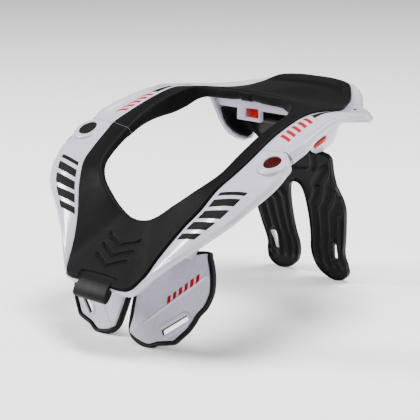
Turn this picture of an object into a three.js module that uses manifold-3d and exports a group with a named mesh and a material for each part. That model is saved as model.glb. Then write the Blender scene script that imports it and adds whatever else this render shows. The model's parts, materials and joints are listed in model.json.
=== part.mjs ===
// A motocross neck brace: a rigid collar in two halves that meet at a hinge and a release button,
// with foam pads on top, chest plates in front and a two-legged strut behind.
// Millimetres, +Z up. The wearer faces -Y, the wearer's left is +X, and the floor is z = 0.
import * as THREE from 'three';
import { mergeVertices } from 'three/addons/utils/BufferGeometryUtils.js';
import Module from 'manifold-3d';

const wasm = await Module();
wasm.setup();

// Driving sizes of the collar
const pivotHalfWidth = 120;      // middle of the brace to a pivot
const pivotHeight = 174;         // floor to the collar's face at the pivots
const collarSlope = 27;          // degrees, how the collar climbs towards the back at the pivots
const seamSetback = 12;          // from the pivots back to the seam between the two halves
const seamRise = 8;              // from the pivots up to the collar at the seam
const seamHeight = pivotHeight + seamRise;
const frontLength = 121.5;       // seam to the lowest front edge
const frontDrop = 120.5;         // seam down to the lowest front edge
const rearLength = 216;          // seam to the rear edge
const rearRise = 33;             // seam up to the rear table
const tableHeight = seamHeight + rearRise;
const padLift = 2;               // how far the pad stands above the shell
const padSeat = 5;               // how deep the pad is let into the shell
const padBevel = 2.4;            // rounding of the pad where it meets the shell
const padRound = 3.5;            // rounding of the pad along the opening
const padHollow = 0.5;           // how far the pad's face dips between its edges
const padFlare = 2;              // how far the pad's inner wall draws back at its lower edge
const padWall = 8;               // thickness of the pad down the inside of the opening
const innerDepth = 20;           // depth of the deepest inner wall, beside the table
const shellDepth = 9;            // face of the shell to its underside
const rimWall = 12;              // height of the deepest outer wall of the shell
const rimRound = 3;              // rounding of the shell's outer edge
const rimLip = 8;                // width of the shell's lower edge
const leastLip = 0.5;            // the same where the shell has no width of its own
const tableDip = 5;              // depth of the long recess in the table
const originSetback = 54.55;      // from the pivots back to the middle of the brace's length

// Pivots
const bossRadius = 15.5;
const bossTop = 2;               // boss above the collar's face
const bossTaper = 1;
const lapDepth = 5;              // face of the shell to the joint of its two halves
const tongueRadius = 14.6;
const tongueBottom = 9.4;
const neckHalfWidth = 8;
const neckReach = 8;             // how far the tongue's neck runs in under the rear shell
const seamLine = 13.3;           // pivot to the seam, along the collar
const pinRadius = 3.6;
const pinPast = 0.2;             // how far the pin stands out below the tongue
const capRadius = 9.6;
const capDepth = 2;
const capProud = 0.3;
const buttonRadius = 8.5;
const buttonHeight = 3.1;
const buttonProud = 0.4;
const buttonTaper = 0.6;
const buttonTravel = 2.5;
const fit = 0.35;                // clearance between pieces that touch
const swingFit = 0.6;            // clearance between pieces that turn past each other
const seamWiden = 0.06;          // how much the seam's gap widens with each degree round the boss
const far = 90;                  // beyond every piece near a pivot, for tools that cut right through

// Chest plates
const plateReach = 93;           // middle of the brace to a plate's outer edge
const plateHeight = 100;         // a plate's lowest tip to its top, along the plate
const plateSetback = -79.5;      // pivots forward to the tips of the plates
const plateTurn = 3;             // degrees, how each plate turns back at its outer side
const plateLean = 21.8;          // degrees, how each plate leans back with the chest
const plateThick = 3.2;
const backingThick = 6.5;
const trimWidth = 4;             // rubber that shows round a plate
const trimRecess = 0.6;          // face of the plate back to the rubber's face
const chestSlotLength = 33;
const chestSlotWidth = 6.5;
const chestSlotTurn = 39;        // degrees
const chestSlotOut = 59.5;       // middle of the brace to the slot's centre
const chestSlotUp = 27;
const plateBlockNear = 44;       // the block that carries a plate, from its near to its far side
const plateBlockFar = 66;
const plateBlockLow = 89;        // up the plate to the block's lower face
const plateBlockDeep = 11;

// Front tab
const tabInnerHalf = 13;
const tabOuterHalf = 22.5;
const tabReach = 13;
const tabDepth = 9;
const tabTaper = 0.5;

// Bracket under the table
const bracketFront = 139;        // pivots back to the bracket's front strip
const bracketThick = 5;
const stripDrop = 17;            // table down to the strip's top edge
const stripWidth = 11;
const stripInset = 1;            // ends of the strip to the lines that the wings hang from
const tabDrop = 12;              // strip down to the lower edge of the front tab, on the wearer's right
const stripTop = tableHeight - stripDrop;
const stripBottom = stripTop - stripWidth;
const tabLow = stripBottom - tabDrop;
const tabNear = 12;              // middle of the brace to the near side of that tab
const tabFar = 43;
const wingDrop = 29;             // table down to the line that a wing hangs from
const wingHeight = tableHeight - wingDrop;
const wingHalfWidth = 73;        // middle of the brace to that line, on the wing's outer face
const wingTurn = 34;             // degrees, how a wing tucks inwards below that line
const wingFront = 131;           // pivots back to a wing's front edge
const wingLength = 47;
const wingDepth = 51;            // that line to the wing's lowest point, along the wing
const wingThick = 4;
const wingPadThick = 3.5;
const clipLength = 14;
const clipWidth = 8.5;
const clipThick = 4;
const clipSeat = 2.6;            // how deep a clip sits in its pocket
const clipTravel = 2;
const clipMargin = 3;            // near side of the tab to its clip
const clipRaise = 2.5;           // clip above the middle of the tab
const pocketProud = 2;           // how far the tools for the pockets stand out
const sideClipLength = 14;
const sideClipWidth = 8;
const sideClipTurn = 38;         // degrees, how a side clip climbs towards the back
const sideClipBack = 18;         // wing's front edge to the clip's centre
const sideClipDown = 28;         // line that the wing hangs from to the clip's centre

// Back strut
const strutThick = 7;
const strutDrop = 31;            // table down to the strut's top edge
const topPlateDrop = 41;         // strut's top edge down to the bend between top plate and legs
const topPlateNeck = 8;          // bend up to where the top plate follows the wings
const topPlateLap = 4;           // how far the top plate runs on below the bend
const strutTopHeight = tableHeight - strutDrop;
const strutBendHeight = strutTopHeight - topPlateDrop;
const strutBendBack = 174;       // pivots back to that bend
const topPlateLean = 31;         // degrees from upright
const legLean = 13.8;            // degrees from upright
const strutWingGap = 2.2;        // side of the top plate to the pads of the wings
const legHalfWidth = 61;         // middle of the brace to a leg's outer edge
const legTop = 1.04;             // top of the legs' outline, as a share of their length
const strutSlotLength = 21;
const strutSlotWidth = 6;
const strutSlotOut = 40.5;
const strutSlotUp = 34;
const strutSlotTurn = 8;         // degrees
const trunnionRadius = 4;
const trunnionDrop = 7;          // strut's top edge down to the axis that it tilts on
const trunnionProud = 0.57;      // that axis in front of the strut's front face
const trunnionHeight = strutTopHeight - trunnionDrop;

// Each row is one section of the collar's left half, from the middle of the front edge to the
// middle of the rear edge. crest is the inner edge of the opening, edge is where pad and shell
// meet, rim is the shell's outer edge. x is a share of pivotHalfWidth, y and z are shares of
// frontLength and frontDrop in front rows, and of rearLength and rearRise in rear rows, all from
// the seam. lift, inner, wall and dip are shares of padLift, innerDepth, rimWall and tableDip.
const columns = ['crestX', 'crestY', 'crestZ', 'edgeX', 'edgeY', 'edgeZ', 'rimX', 'rimY', 'rimZ',
  'lift', 'inner', 'wall', 'dip'];
const frontRows = [
  [0, -0.53, -0.57, 0, -0.988, -0.995, 0, -1, -1, 1.5, 0.4, 0.7, 0],
  [0.033, -0.53, -0.567, 0.142, -0.988, -0.995, 0.146, -1, -1, 1.5, 0.4, 0.7, 0],
  [0.067, -0.53, -0.562, 0.275, -0.984, -0.998, 0.283, -0.996, -1, 1.5, 0.4, 0.7, 0],
  [0.1, -0.528, -0.555, 0.354, -0.955, -0.98, 0.371, -0.975, -0.98, 1.5, 0.4, 0.7, 0],
  [0.158, -0.522, -0.532, 0.408, -0.877, -0.905, 0.46, -0.91, -0.875, 1.5, 0.4, 0.65, 0],
  [0.242, -0.518, -0.483, 0.458, -0.774, -0.765, 0.592, -0.807, -0.76, 1.4, 0.4, 0.6, 0],
  [0.333, -0.506, -0.415, 0.525, -0.675, -0.622, 0.742, -0.708, -0.64, 1.3, 0.4, 0.58, 0],
  [0.417, -0.482, -0.353, 0.592, -0.6, -0.506, 0.883, -0.634, -0.523, 1.2, 0.4, 0.56, 0],
  [0.492, -0.44, -0.29, 0.662, -0.523, -0.4, 1.008, -0.56, -0.411, 1.2, 0.4, 0.56, 0],
  [0.558, -0.366, -0.228, 0.729, -0.412, -0.253, 1.096, -0.428, -0.286, 1.2, 0.4, 0.58, 0],
  [0.604, -0.247, -0.158, 0.77, -0.25, -0.15, 1.146, -0.27, -0.174, 1.2, 0.4, 0.64, 0],
  [0.62, -0.099, -0.066, 0.792, -0.099, -0.06, 1.137, -0.123, -0.083, 1.2, 0.42, 0.74, 0],
];
const rearRows = [
  [0.625, 0, -0.04, 0.802, 0, 0, 1.092, 0, -0.03, 1.2, 0.5, 0.84, 0],
  [0.633, 0.083, 0.24, 0.79, 0.083, 0.22, 1.12, 0.079, 0.2, 1.2, 0.6, 0.72, 0],
  [0.642, 0.181, 0.5, 0.783, 0.181, 0.44, 1.1, 0.176, 0.41, 1.1, 0.8, 0.5, 0],
  [0.633, 0.282, 0.71, 0.783, 0.282, 0.62, 1.08, 0.282, 0.59, 1, 1, 0.4, 0],
  [0.583, 0.352, 0.86, 0.796, 0.356, 0.69, 1.083, 0.37, 0.66, 1, 0.95, 0.38, 0],
  [0.5, 0.389, 0.94, 0.825, 0.426, 0.7, 1.117, 0.444, 0.64, 1, 0.7, 0.4, 0],
  [0.417, 0.405, 0.97, 0.85, 0.486, 0.66, 1.167, 0.505, 0.62, 1, 0.57, 0.42, 0],
  [0.358, 0.41, 0.98, 0.82, 0.549, 0.63, 1.108, 0.567, 0.62, 1, 0.55, 0.45, 0],
  [0.308, 0.412, 0.985, 0.762, 0.611, 0.6, 0.967, 0.63, 0.64, 1, 0.55, 0.45, 0],
  [0.258, 0.412, 0.985, 0.696, 0.667, 0.56, 0.858, 0.685, 0.66, 1, 0.55, 0.45, 0],
  [0.217, 0.412, 0.985, 0.63, 0.731, 0.54, 0.775, 0.745, 0.68, 1, 0.55, 0.45, 0],
  [0.167, 0.412, 0.985, 0.558, 0.81, 0.57, 0.667, 0.829, 0.73, 1, 0.55, 0.45, 0],
  [0.117, 0.412, 0.985, 0.471, 0.88, 0.7, 0.55, 0.907, 0.79, 1, 0.55, 0.5, 0.3],
  [0.067, 0.412, 0.985, 0.375, 0.933, 0.89, 0.417, 0.968, 0.84, 1, 0.55, 0.5, 0.9],
  [0.033, 0.412, 0.985, 0.192, 0.956, 0.96, 0.208, 0.995, 0.86, 1, 0.55, 0.5, 1],
  [0, 0.412, 0.985, 0, 0.958, 0.97, 0, 1, 0.87, 1, 0.55, 0.5, 1],
];
const seamRow = frontRows.length;
const lastRow = frontRows.length + rearRows.length - 1;

const vec = (x, y, z) => new THREE.Vector3(x, y, z);
const radians = THREE.MathUtils.degToRad;
const lerp = THREE.MathUtils.lerp;

// One row of the table in millimetres. isRear picks the lengths that its shares follow.
function rowInMillimetres(row, isRear) {
  const length = isRear ? rearLength : frontLength;
  const rise = isRear ? rearRise : frontDrop;
  const named = Object.fromEntries(columns.map((name, index) => [name, row[index]]));
  const point = (x, y, z) => [x * pivotHalfWidth, seamSetback + y * length, seamHeight + z * rise];
  return [
    ...point(named.crestX, named.crestY, named.crestZ),
    ...point(named.edgeX, named.edgeY, named.edgeZ),
    ...point(named.rimX, named.rimY, named.rimZ),
    named.lift * padLift, named.inner * innerDepth, named.wall * rimWall, named.dip * tableDip,
  ];
}
const rows = [
  ...frontRows.map((row) => rowInMillimetres(row, false)),
  ...rearRows.map((row) => rowInMillimetres(row, true)),
];

// A row beyond either end is the mirror image of one within, so that rails run smoothly on.
function rowAt(index) {
  const mirrored = index < 0 || index > lastRow;
  const inside = index < 0 ? -index : index > lastRow ? 2 * lastRow - index : index;
  const row = rows[inside];
  const flips = [0, 3, 6];
  return mirrored ? row.map((value, column) => (flips.includes(column) ? -value : value)) : row;
}

// Values at a place between rows, on a smooth curve through the rows.
function railsAt(place) {
  const start = Math.min(Math.floor(place), lastRow - 1);
  const t = place - start;
  const [before, from, to, after] = [-1, 0, 1, 2].map((step) => rowAt(start + step));
  return from.map((value, column) => {
    const slopeFrom = (to[column] - before[column]) / 2;
    const slopeTo = (after[column] - from[column]) / 2;
    const t2 = t * t;
    const t3 = t2 * t;
    return value * (2 * t3 - 3 * t2 + 1) + slopeFrom * (t3 - 2 * t2 + t)
      + to[column] * (3 * t2 - 2 * t3) + slopeTo * (t3 - t2);
  });
}

// The section at a place, with its corner points and its directions across and up.
function sectionAt(place, side) {
  const values = railsAt(place);
  const mirror = (x, y, z) => vec(side * x, y, z);
  const crest = mirror(...values.slice(0, 3));
  const edge = mirror(...values.slice(3, 6));
  const rim = mirror(...values.slice(6, 9));
  const step = 0.25;
  const ahead = railsAt(Math.min(place + step, lastRow));
  const behind = railsAt(Math.max(place - step, 0));
  const along = mirror(ahead[3] - behind[3], ahead[4] - behind[4], ahead[5] - behind[5]);
  if (place < step || place > lastRow - step) along.set(side, 0, 0);
  const across = rim.clone().sub(crest);
  const up = along.clone().cross(across).normalize();
  if (up.z < 0) up.negate();
  const [lift, inner, wall, dip] = values.slice(9);
  return { crest, edge, rim, up, lift, inner, wall, dip };
}

const offset = (point, up, height, across = up, out = 0) => (
  point.clone().addScaledVector(up, height).addScaledVector(across, out)
);

// Outline of the shell's section. grow swells its underside, for cutting what lies against it.
function shellSection({ crest, edge, rim, up, wall }, grow = 0) {
  const outward = rim.clone().sub(edge);
  const width = outward.length();
  outward.normalize();
  const inward = edge.clone().sub(crest).normalize();
  const round = Math.min(rimRound, 0.4 * width);
  const lip = Math.min(rimLip, 0.8 * width + leastLip);
  const bulge = 0.06 * width;
  return [
    edge.clone(),
    offset(edge.clone().lerp(rim, 0.5), up, bulge),
    offset(rim, up, 0, outward, -round),
    offset(rim, up, -round, outward, grow),
    offset(rim, up, -wall - grow, outward, grow - 0.12 * wall),
    offset(rim, up, -wall - grow, outward, -lip),
    offset(edge, up, -shellDepth - grow),
    offset(crest, up, -shellDepth - grow, inward, padWall),
    offset(crest, up, -padSeat, inward, padWall),
    offset(edge, up, -padSeat),
  ];
}

// Outline of the pad's section, which sits on the shell and wraps the edge of the opening.
function padSection({ crest, edge, up, lift, inner, dip }) {
  const outward = edge.clone().sub(crest).normalize();
  const topEdge = offset(edge, up, lift, outward, -padBevel);
  const topCrest = offset(crest, up, 0, outward, padRound);
  const top = (share, drop) => offset(topEdge.clone().lerp(topCrest, share), up, -drop);
  return [
    offset(edge, up, fit - padSeat, outward, -fit),
    offset(edge, up, 0.55 * lift, outward, -fit),
    topEdge,
    top(0.08, 0),
    top(0.14, dip),
    top(0.26, dip),
    top(0.36, 0.6 * padHollow),
    top(0.7, padHollow),
    topCrest,
    offset(crest, up, -0.34 * padRound, outward, 0.26 * padRound),
    offset(crest, up, -padRound),
    offset(crest, up, -0.75 * inner, outward, 0.2 * padFlare),
    offset(crest, up, -inner, outward, padFlare),
    offset(crest, up, -inner, outward, padWall - fit),
    offset(crest, up, fit - padSeat, outward, padWall - fit),
  ];
}

// A closed solid through a run of sections with the same number of points.
function loft(sections) {
  const count = sections[0].length;
  const positions = sections.flat().flatMap((point) => [point.x, point.y, point.z]);
  const faces = [];
  for (let ring = 0; ring < sections.length - 1; ring += 1) {
    for (let k = 0; k < count; k += 1) {
      const a = ring * count + k;
      const b = ring * count + (k + 1) % count;
      faces.push(a, b, b + count, a, b + count, a + count);
    }
  }
  const flat = flatOutline(sections[0]);
  const lastRing = (sections.length - 1) * count;
  for (const [a, b, c] of THREE.ShapeUtils.triangulateShape(flat, [])) {
    faces.push(a, c, b);
  }
  const flatEnd = flatOutline(sections[sections.length - 1]);
  for (const [a, b, c] of THREE.ShapeUtils.triangulateShape(flatEnd, [])) {
    faces.push(lastRing + a, lastRing + b, lastRing + c);
  }
  return solidFrom(positions, faces);
}

// An outline in its own plane, turned so that it runs anticlockwise for the triangulation.
function flatOutline(points) {
  const normal = vec(0, 0, 0);
  points.forEach((point, index) => {
    normal.add(point.clone().cross(points[(index + 1) % points.length]));
  });
  normal.normalize();
  const across = points[1].clone().sub(points[0]).projectOnPlane(normal).normalize();
  const upward = normal.clone().cross(across);
  return points.map((point) => new THREE.Vector2(point.dot(across), point.dot(upward)));
}

function solidFrom(positions, faces) {
  let volume = 0;
  const corner = (index) => vec(...positions.slice(3 * index, 3 * index + 3));
  for (let k = 0; k < faces.length; k += 3) {
    volume += corner(faces[k]).dot(corner(faces[k + 1]).cross(corner(faces[k + 2])));
  }
  const triVerts = new Uint32Array(faces);
  if (volume < 0) triVerts.reverse();
  return new wasm.Manifold(new wasm.Mesh({
    numProp: 3, vertProperties: new Float32Array(positions), triVerts,
  }));
}

// A three.js geometry, placed by a matrix, as a solid.
function solidOf(geometry, matrix = new THREE.Matrix4()) {
  const bare = geometry.index ? geometry.toNonIndexed() : geometry.clone();
  bare.deleteAttribute('normal');
  bare.deleteAttribute('uv');
  bare.applyMatrix4(matrix);
  const merged = mergeVertices(bare, 1e-4);
  return solidFrom([...merged.attributes.position.array], [...merged.index.array]);
}

function geometryOf(solid) {
  const mesh = solid.getMesh();
  const geometry = new THREE.BufferGeometry();
  const points = new Float32Array(mesh.vertProperties);
  geometry.setAttribute('position', new THREE.BufferAttribute(points, 3));
  geometry.setIndex(new THREE.BufferAttribute(new Uint32Array(mesh.triVerts), 1));
  geometry.computeVertexNormals();
  return geometry;
}

// Places where sections are taken, from one place to another, a few to each row.
function stops(from, to, perRow) {
  const count = Math.max(2, Math.round(Math.abs(to - from) * perRow));
  return Array.from({ length: count + 1 }, (unused, index) => lerp(from, to, index / count));
}

// A collar piece runs from one side through the middle row to the other side.
function collarPiece(outline, middleRow, endPlace, perRow = 2) {
  const left = stops(endPlace, middleRow, perRow).map((place) => outline(sectionAt(place, 1)));
  const right = stops(middleRow, endPlace, perRow).slice(1);
  return loft([...left, ...right.map((place) => outline(sectionAt(place, -1)))]);
}

// Matrix of a pivot: x points outward, y back along the collar and z up out of its face.
function pivotMatrix(side) {
  return new THREE.Matrix4().makeTranslation(side * pivotHalfWidth, 0, pivotHeight)
    .multiply(new THREE.Matrix4().makeRotationX(radians(collarSlope)));
}

function disc(radius, low, high, side, topRadius = radius) {
  const profile = [
    new THREE.Vector2(0, low), new THREE.Vector2(radius, low),
    new THREE.Vector2(topRadius, high), new THREE.Vector2(0, high),
  ];
  const geometry = new THREE.LatheGeometry(profile, 28).rotateX(Math.PI / 2);
  return solidOf(geometry, pivotMatrix(side));
}

// A prism standing on the collar at a pivot. outline holds pairs: outward, then back.
function pivotPrism(outline, side, low = -far, high = far) {
  const shape = new THREE.Shape(outline.map(([out, back]) => new THREE.Vector2(side * out, back)));
  const geometry = new THREE.ExtrudeGeometry(shape, { depth: high - low, bevelEnabled: false });
  geometry.translate(0, 0, low);
  return solidOf(geometry, pivotMatrix(side));
}

function arc(radiusAt, fromDegrees, toDegrees, count = 10) {
  return Array.from({ length: count + 1 }, (unused, index) => {
    const angle = lerp(fromDegrees, toDegrees, index / count);
    const radius = radiusAt(angle);
    return [radius * Math.sin(radians(angle)), radius * Math.cos(radians(angle))];
  });
}

// The seam: straight inside, round the boss outside. Angles run outward from straight back.
const seamStart = -THREE.MathUtils.radToDeg(Math.acos(seamLine / bossRadius));
function behindSeam() {
  return [[-far, seamLine], ...arc(() => bossRadius, seamStart, 90), [far, 0], [far, far], [-far, far]];
}
function beforeSeam() {
  const radius = bossRadius + swingFit;
  const start = -THREE.MathUtils.radToDeg(Math.acos((seamLine + swingFit) / radius));
  const growing = (angle) => radius + Math.max(0, angle) * seamWiden;
  const curve = arc(growing, start, 48);
  const outer = curve[curve.length - 1];
  return [[-far, seamLine + swingFit], ...curve, [far, outer[1]], [far, -far], [-far, -far]];
}

function mirroredPair(make) {
  return [1, -1].map(make);
}

function cutAll(solid, tools) {
  return tools.reduce((rest, tool) => rest.subtract(tool), solid);
}

function joinAll(solid, parts) {
  return parts.reduce((whole, part) => whole.add(part), solid);
}

// The pivot ends of the front shell: a raised boss over a pocket for the rear shell's tongue.
function frontShell() {
  const body = collarPiece(shellSection, 0, seamRow + 0.9);
  const trimmed = cutAll(body, mirroredPair((side) => pivotPrism(behindSeam(), side)));
  const bosses = mirroredPair((side) => (
    disc(bossRadius, -lapDepth, bossTop, side, bossRadius - bossTaper)
  ));
  const pocketOutline = [[-far, 0], [far, 0], [far, far], [-far, far]];
  const pockets = mirroredPair((side) => (
    disc(bossRadius + fit, -far, -lapDepth, side)
      .add(pivotPrism(pocketOutline, side, -far, -lapDepth))
  ));
  const bores = [
    disc(pinRadius + fit, -far, far, -1),
    disc(capRadius + fit, bossTop - capDepth, far, -1),
    disc(buttonRadius + fit, bossTop + buttonProud - buttonHeight - buttonTravel - fit, far, 1),
  ];
  return cutAll(joinAll(trimmed, bosses), [...pockets, ...bores]);
}

function rearShell() {
  const body = collarPiece(shellSection, lastRow, seamRow - 0.9);
  const trimmed = cutAll(body, mirroredPair((side) => pivotPrism(beforeSeam(), side)));
  const neckEnd = seamLine + neckReach;
  const neckOutline = [
    [-neckHalfWidth, 0], [neckHalfWidth, 0], [neckHalfWidth, neckEnd], [-neckHalfWidth, neckEnd],
  ];
  const tongues = mirroredPair((side) => (
    disc(tongueRadius, -tongueBottom, -lapDepth - fit, side)
      .add(pivotPrism(neckOutline, side, -tongueBottom, -lapDepth - fit))
  ));
  const bores = [disc(pinRadius + fit, -far, far, -1)];
  return cutAll(joinAll(trimmed, tongues), bores);
}

function frontPad() {
  const body = collarPiece(padSection, 0, seamRow + 0.9);
  return cutAll(body, mirroredPair((side) => pivotPrism(behindSeam(), side)));
}

function rearPad() {
  const body = collarPiece(padSection, lastRow, seamRow - 0.9);
  return cutAll(body, mirroredPair((side) => pivotPrism(beforeSeam(), side)));
}

function pivotCap() {
  const head = disc(capRadius, bossTop - capDepth + fit, bossTop + capProud, -1);
  return head.add(disc(pinRadius, -tongueBottom - pinPast, bossTop, -1));
}

function releaseButton() {
  const top = bossTop + buttonProud;
  return disc(buttonRadius, top - buttonHeight, top, 1, buttonRadius - buttonTaper);
}

// A wedge below the front pad's lower edge, wider towards its front.
function frontTab() {
  const { rim, up, edge } = sectionAt(0, 1);
  const outward = rim.clone().sub(edge).normalize();
  // Columns: share of tabReach, half width, top and bottom as shares of tabDepth.
  const slices = [
    [0.05, tabInnerHalf, 0.15, -0.85],
    [0.4, lerp(tabInnerHalf, tabOuterHalf, 0.5), 0.22, -0.9],
    [0.85, tabOuterHalf, -0.3, -0.95],
    [1, tabOuterHalf - tabTaper, -0.5, -0.8],
  ];
  return loft(slices.map(([share, half, top, bottom]) => {
    const centre = offset(rim, up, 0, outward, share * tabReach + fit);
    const corner = (x, height) => offset(centre, up, height * tabDepth).add(vec(x, 0, 0));
    return [corner(-half, bottom), corner(half, bottom), corner(half, top), corner(-half, top)];
  }));
}

// Outline of a chest plate with its rubber edge. Columns: out as a share of plateReach, up as
// a share of plateHeight, and the share of trimWidth that the rubber shows there.
const chestOutline = [
  [0.04, 0.62, 0.2], [0.042, 0.38, 0.2], [0.053, 0.25, 0.2], [0.074, 0.13, 0.4],
  [0.147, 0.048, 1], [0.263, 0.01, 1], [0.358, 0, 1], [0.43, 0.022, 1], [0.484, 0.048, 1],
  [0.6, 0.075, 1], [0.684, 0.102, 1], [0.758, 0.178, 1], [0.82, 0.248, 1], [0.868, 0.334, 1],
  [0.895, 0.4, 1], [0.958, 0.485, 1], [0.99, 0.57, 1], [1, 0.67, 1], [0.958, 0.82, 1],
  [0.885, 0.95, 1], [0.82, 1, 0.3], [0.5, 0.93, 0.2], [0.2, 0.78, 0.2],
];

function chestShape(inset) {
  const points = chestOutline.map(([out, up]) => (
    new THREE.Vector2(out * plateReach, up * plateHeight)
  ));
  const inward = points.map((point, index) => {
    const before = points[(index + points.length - 1) % points.length];
    const after = points[(index + 1) % points.length];
    const first = point.clone().sub(before).normalize();
    const second = after.clone().sub(point).normalize();
    const bisector = first.add(second).normalize();
    const shift = inset(chestOutline[index][2]);
    return point.clone().add(new THREE.Vector2(-bisector.y, bisector.x).multiplyScalar(shift));
  });
  return new THREE.Shape(inward);
}

// A slot with round ends, as a solid along +Y through a plate that stands on X and Z.
function slotTool(length, width, turn, out, up, depth) {
  const half = (length - width) / 2;
  const shape = new THREE.Shape();
  shape.absarc(half, 0, width / 2, -Math.PI / 2, Math.PI / 2, false);
  shape.absarc(-half, 0, width / 2, Math.PI / 2, 1.5 * Math.PI, false);
  const geometry = new THREE.ExtrudeGeometry(shape, {
    depth: 2 * depth, bevelEnabled: false, curveSegments: 6,
  });
  geometry.rotateZ(radians(turn)).translate(out, up, -depth);
  return geometry;
}

// Matrix that stands a plate drawn on X and Y on its tip, front face towards -Y.
function plateMatrix(side) {
  return new THREE.Matrix4().makeTranslation(0, plateSetback, 0)
    .multiply(new THREE.Matrix4().makeScale(side, 1, 1))
    .multiply(new THREE.Matrix4().makeRotationZ(radians(plateTurn)))
    .multiply(new THREE.Matrix4().makeRotationX(Math.PI / 2 - radians(plateLean)));
}

function plateLayer(shape, front, back, side) {
  const geometry = new THREE.ExtrudeGeometry(shape, { depth: back - front, bevelEnabled: false });
  return solidOf(geometry.translate(0, 0, -back), plateMatrix(side));
}

function chestSlot(side) {
  const tool = slotTool(chestSlotLength, chestSlotWidth, chestSlotTurn,
    chestSlotOut, chestSlotUp, 3 * backingThick);
  return solidOf(tool, plateMatrix(side));
}

// The collar's shell and all that is above it, swollen by fit, to cut what meets its underside.
function collarCutter(middleRow, endPlace) {
  const swollen = collarPiece((section) => shellSection(section, fit), middleRow, endPlace);
  const above = collarPiece(({ crest, rim, up }) => {
    const outward = rim.clone().sub(crest).normalize();
    return [
      offset(crest, up, -shellDepth - fit, outward, -padFlare),
      offset(crest, up, far, outward, -padFlare),
      offset(rim, up, far, outward, padFlare),
      offset(rim, up, -fit, outward, padFlare),
    ];
  }, middleRow, endPlace);
  return swollen.add(above);
}

// A block stands on each plate's front face and reaches the collar's underside.
function plateBlock(side) {
  const shape = new THREE.Shape([
    new THREE.Vector2(plateBlockNear, plateBlockLow),
    new THREE.Vector2(plateBlockFar, plateBlockLow),
    new THREE.Vector2(plateBlockFar, plateBlockLow + plateBlockDeep),
    new THREE.Vector2(plateBlockNear, plateBlockLow + plateBlockDeep),
  ]);
  const geometry = new THREE.ExtrudeGeometry(shape, { depth: far, bevelEnabled: false });
  return solidOf(geometry.translate(0, 0, fit - trimRecess), plateMatrix(side));
}

function chestPieces(side, cutter) {
  const plateOutline = chestShape((share) => share * trimWidth);
  const pocketOutline = chestShape((share) => share * trimWidth - fit);
  const tools = [cutter, chestSlot(side), underFloor()];
  const plate = plateLayer(plateOutline, 0, plateThick, side).add(plateBlock(side));
  const backing = plateLayer(chestShape(() => 0), trimRecess, backingThick, side);
  const pocket = plateLayer(pocketOutline, -far, plateThick + fit, side);
  return {
    plate: largest(cutAll(plate, tools)),
    backing: largest(cutAll(backing, [pocket, ...tools])),
  };
}

function largest(solid) {
  const pieces = solid.decompose();
  return pieces.reduce((best, piece) => (piece.volume() > best.volume() ? piece : best));
}

function boxBetween(low, high) {
  const size = high.clone().sub(low);
  const geometry = new THREE.BoxGeometry(size.x, size.y, size.z);
  const middle = low.clone().add(high).multiplyScalar(0.5);
  return solidOf(geometry, new THREE.Matrix4().makeTranslation(middle.x, middle.y, middle.z));
}

// All that would lie below the floor, to give the feet flat soles.
const underFloor = () => boxBetween(vec(-2 * far, -2 * far, -far), vec(2 * far, 3 * far, 0));

const clipFrontOut = tabNear + clipMargin + clipLength / 2;
const clipFrontUp = (stripBottom + tabLow) / 2 + clipRaise;

// Outline of a wing. Columns: back as a share of wingLength, down as a share of wingDepth.
const wingOutline = [
  [0.1, -0.22], [0.08, 0.1], [0.06, 0.34], [0.08, 0.52], [0.17, 0.68], [0.32, 0.8], [0.52, 0.88],
  [0.75, 0.87], [0.9, 0.78], [0.98, 0.66], [0.86, 0.4], [0.78, 0.1], [0.78, -0.22],
];
// Outline of the black pad on a wing's inner face, in the same columns.
const wingPadOutline = [
  [0.16, 0.1], [0.14, 0.18], [0.1, 0.36], [0.12, 0.5], [0.21, 0.66], [0.36, 0.77], [0.56, 0.85],
  [0.72, 0.82], [0.84, 0.72], [0.8, 0.4], [0.72, 0.1],
];

// Matrix of a wing: x runs back, y runs up the wing and z out of its outer face.
function wingMatrix(side) {
  return new THREE.Matrix4().makeScale(side, 1, 1)
    .multiply(new THREE.Matrix4().makeTranslation(wingHalfWidth, wingFront, wingHeight))
    .multiply(new THREE.Matrix4().makeRotationY(radians(wingTurn)))
    .multiply(new THREE.Matrix4().set(0, 0, 1, 0, 1, 0, 0, 0, 0, 1, 0, 0, 0, 0, 0, 1));
}

function wingLayer(outline, outer, inner, side) {
  const shape = new THREE.Shape(outline.map(([back, down]) => (
    new THREE.Vector2(back * wingLength, -down * wingDepth)
  )));
  const geometry = new THREE.ExtrudeGeometry(shape, { depth: inner - outer, bevelEnabled: false });
  return solidOf(geometry.translate(0, 0, -inner), wingMatrix(side));
}

// The front clip's box, or its pocket, along X on the tab.
function frontClipBox(grow, slack, front, back) {
  const half = clipLength / 2 + grow;
  const height = clipWidth / 2 + grow;
  return boxBetween(
    vec(-clipFrontOut - half - slack, bracketFront + front, clipFrontUp - height),
    vec(-clipFrontOut + half, bracketFront + back, clipFrontUp + height),
  );
}

// The same on a wing, turned to climb towards the back.
function sideClipBox(side, grow, slack, proud, deep) {
  const length = sideClipLength + 2 * grow + slack;
  const geometry = new THREE.BoxGeometry(length, sideClipWidth + 2 * grow, proud + deep);
  geometry.translate(slack / 2, 0, (proud - deep) / 2).rotateZ(radians(sideClipTurn));
  geometry.translate(sideClipBack, -sideClipDown, 0);
  return solidOf(geometry, wingMatrix(side));
}

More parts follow.
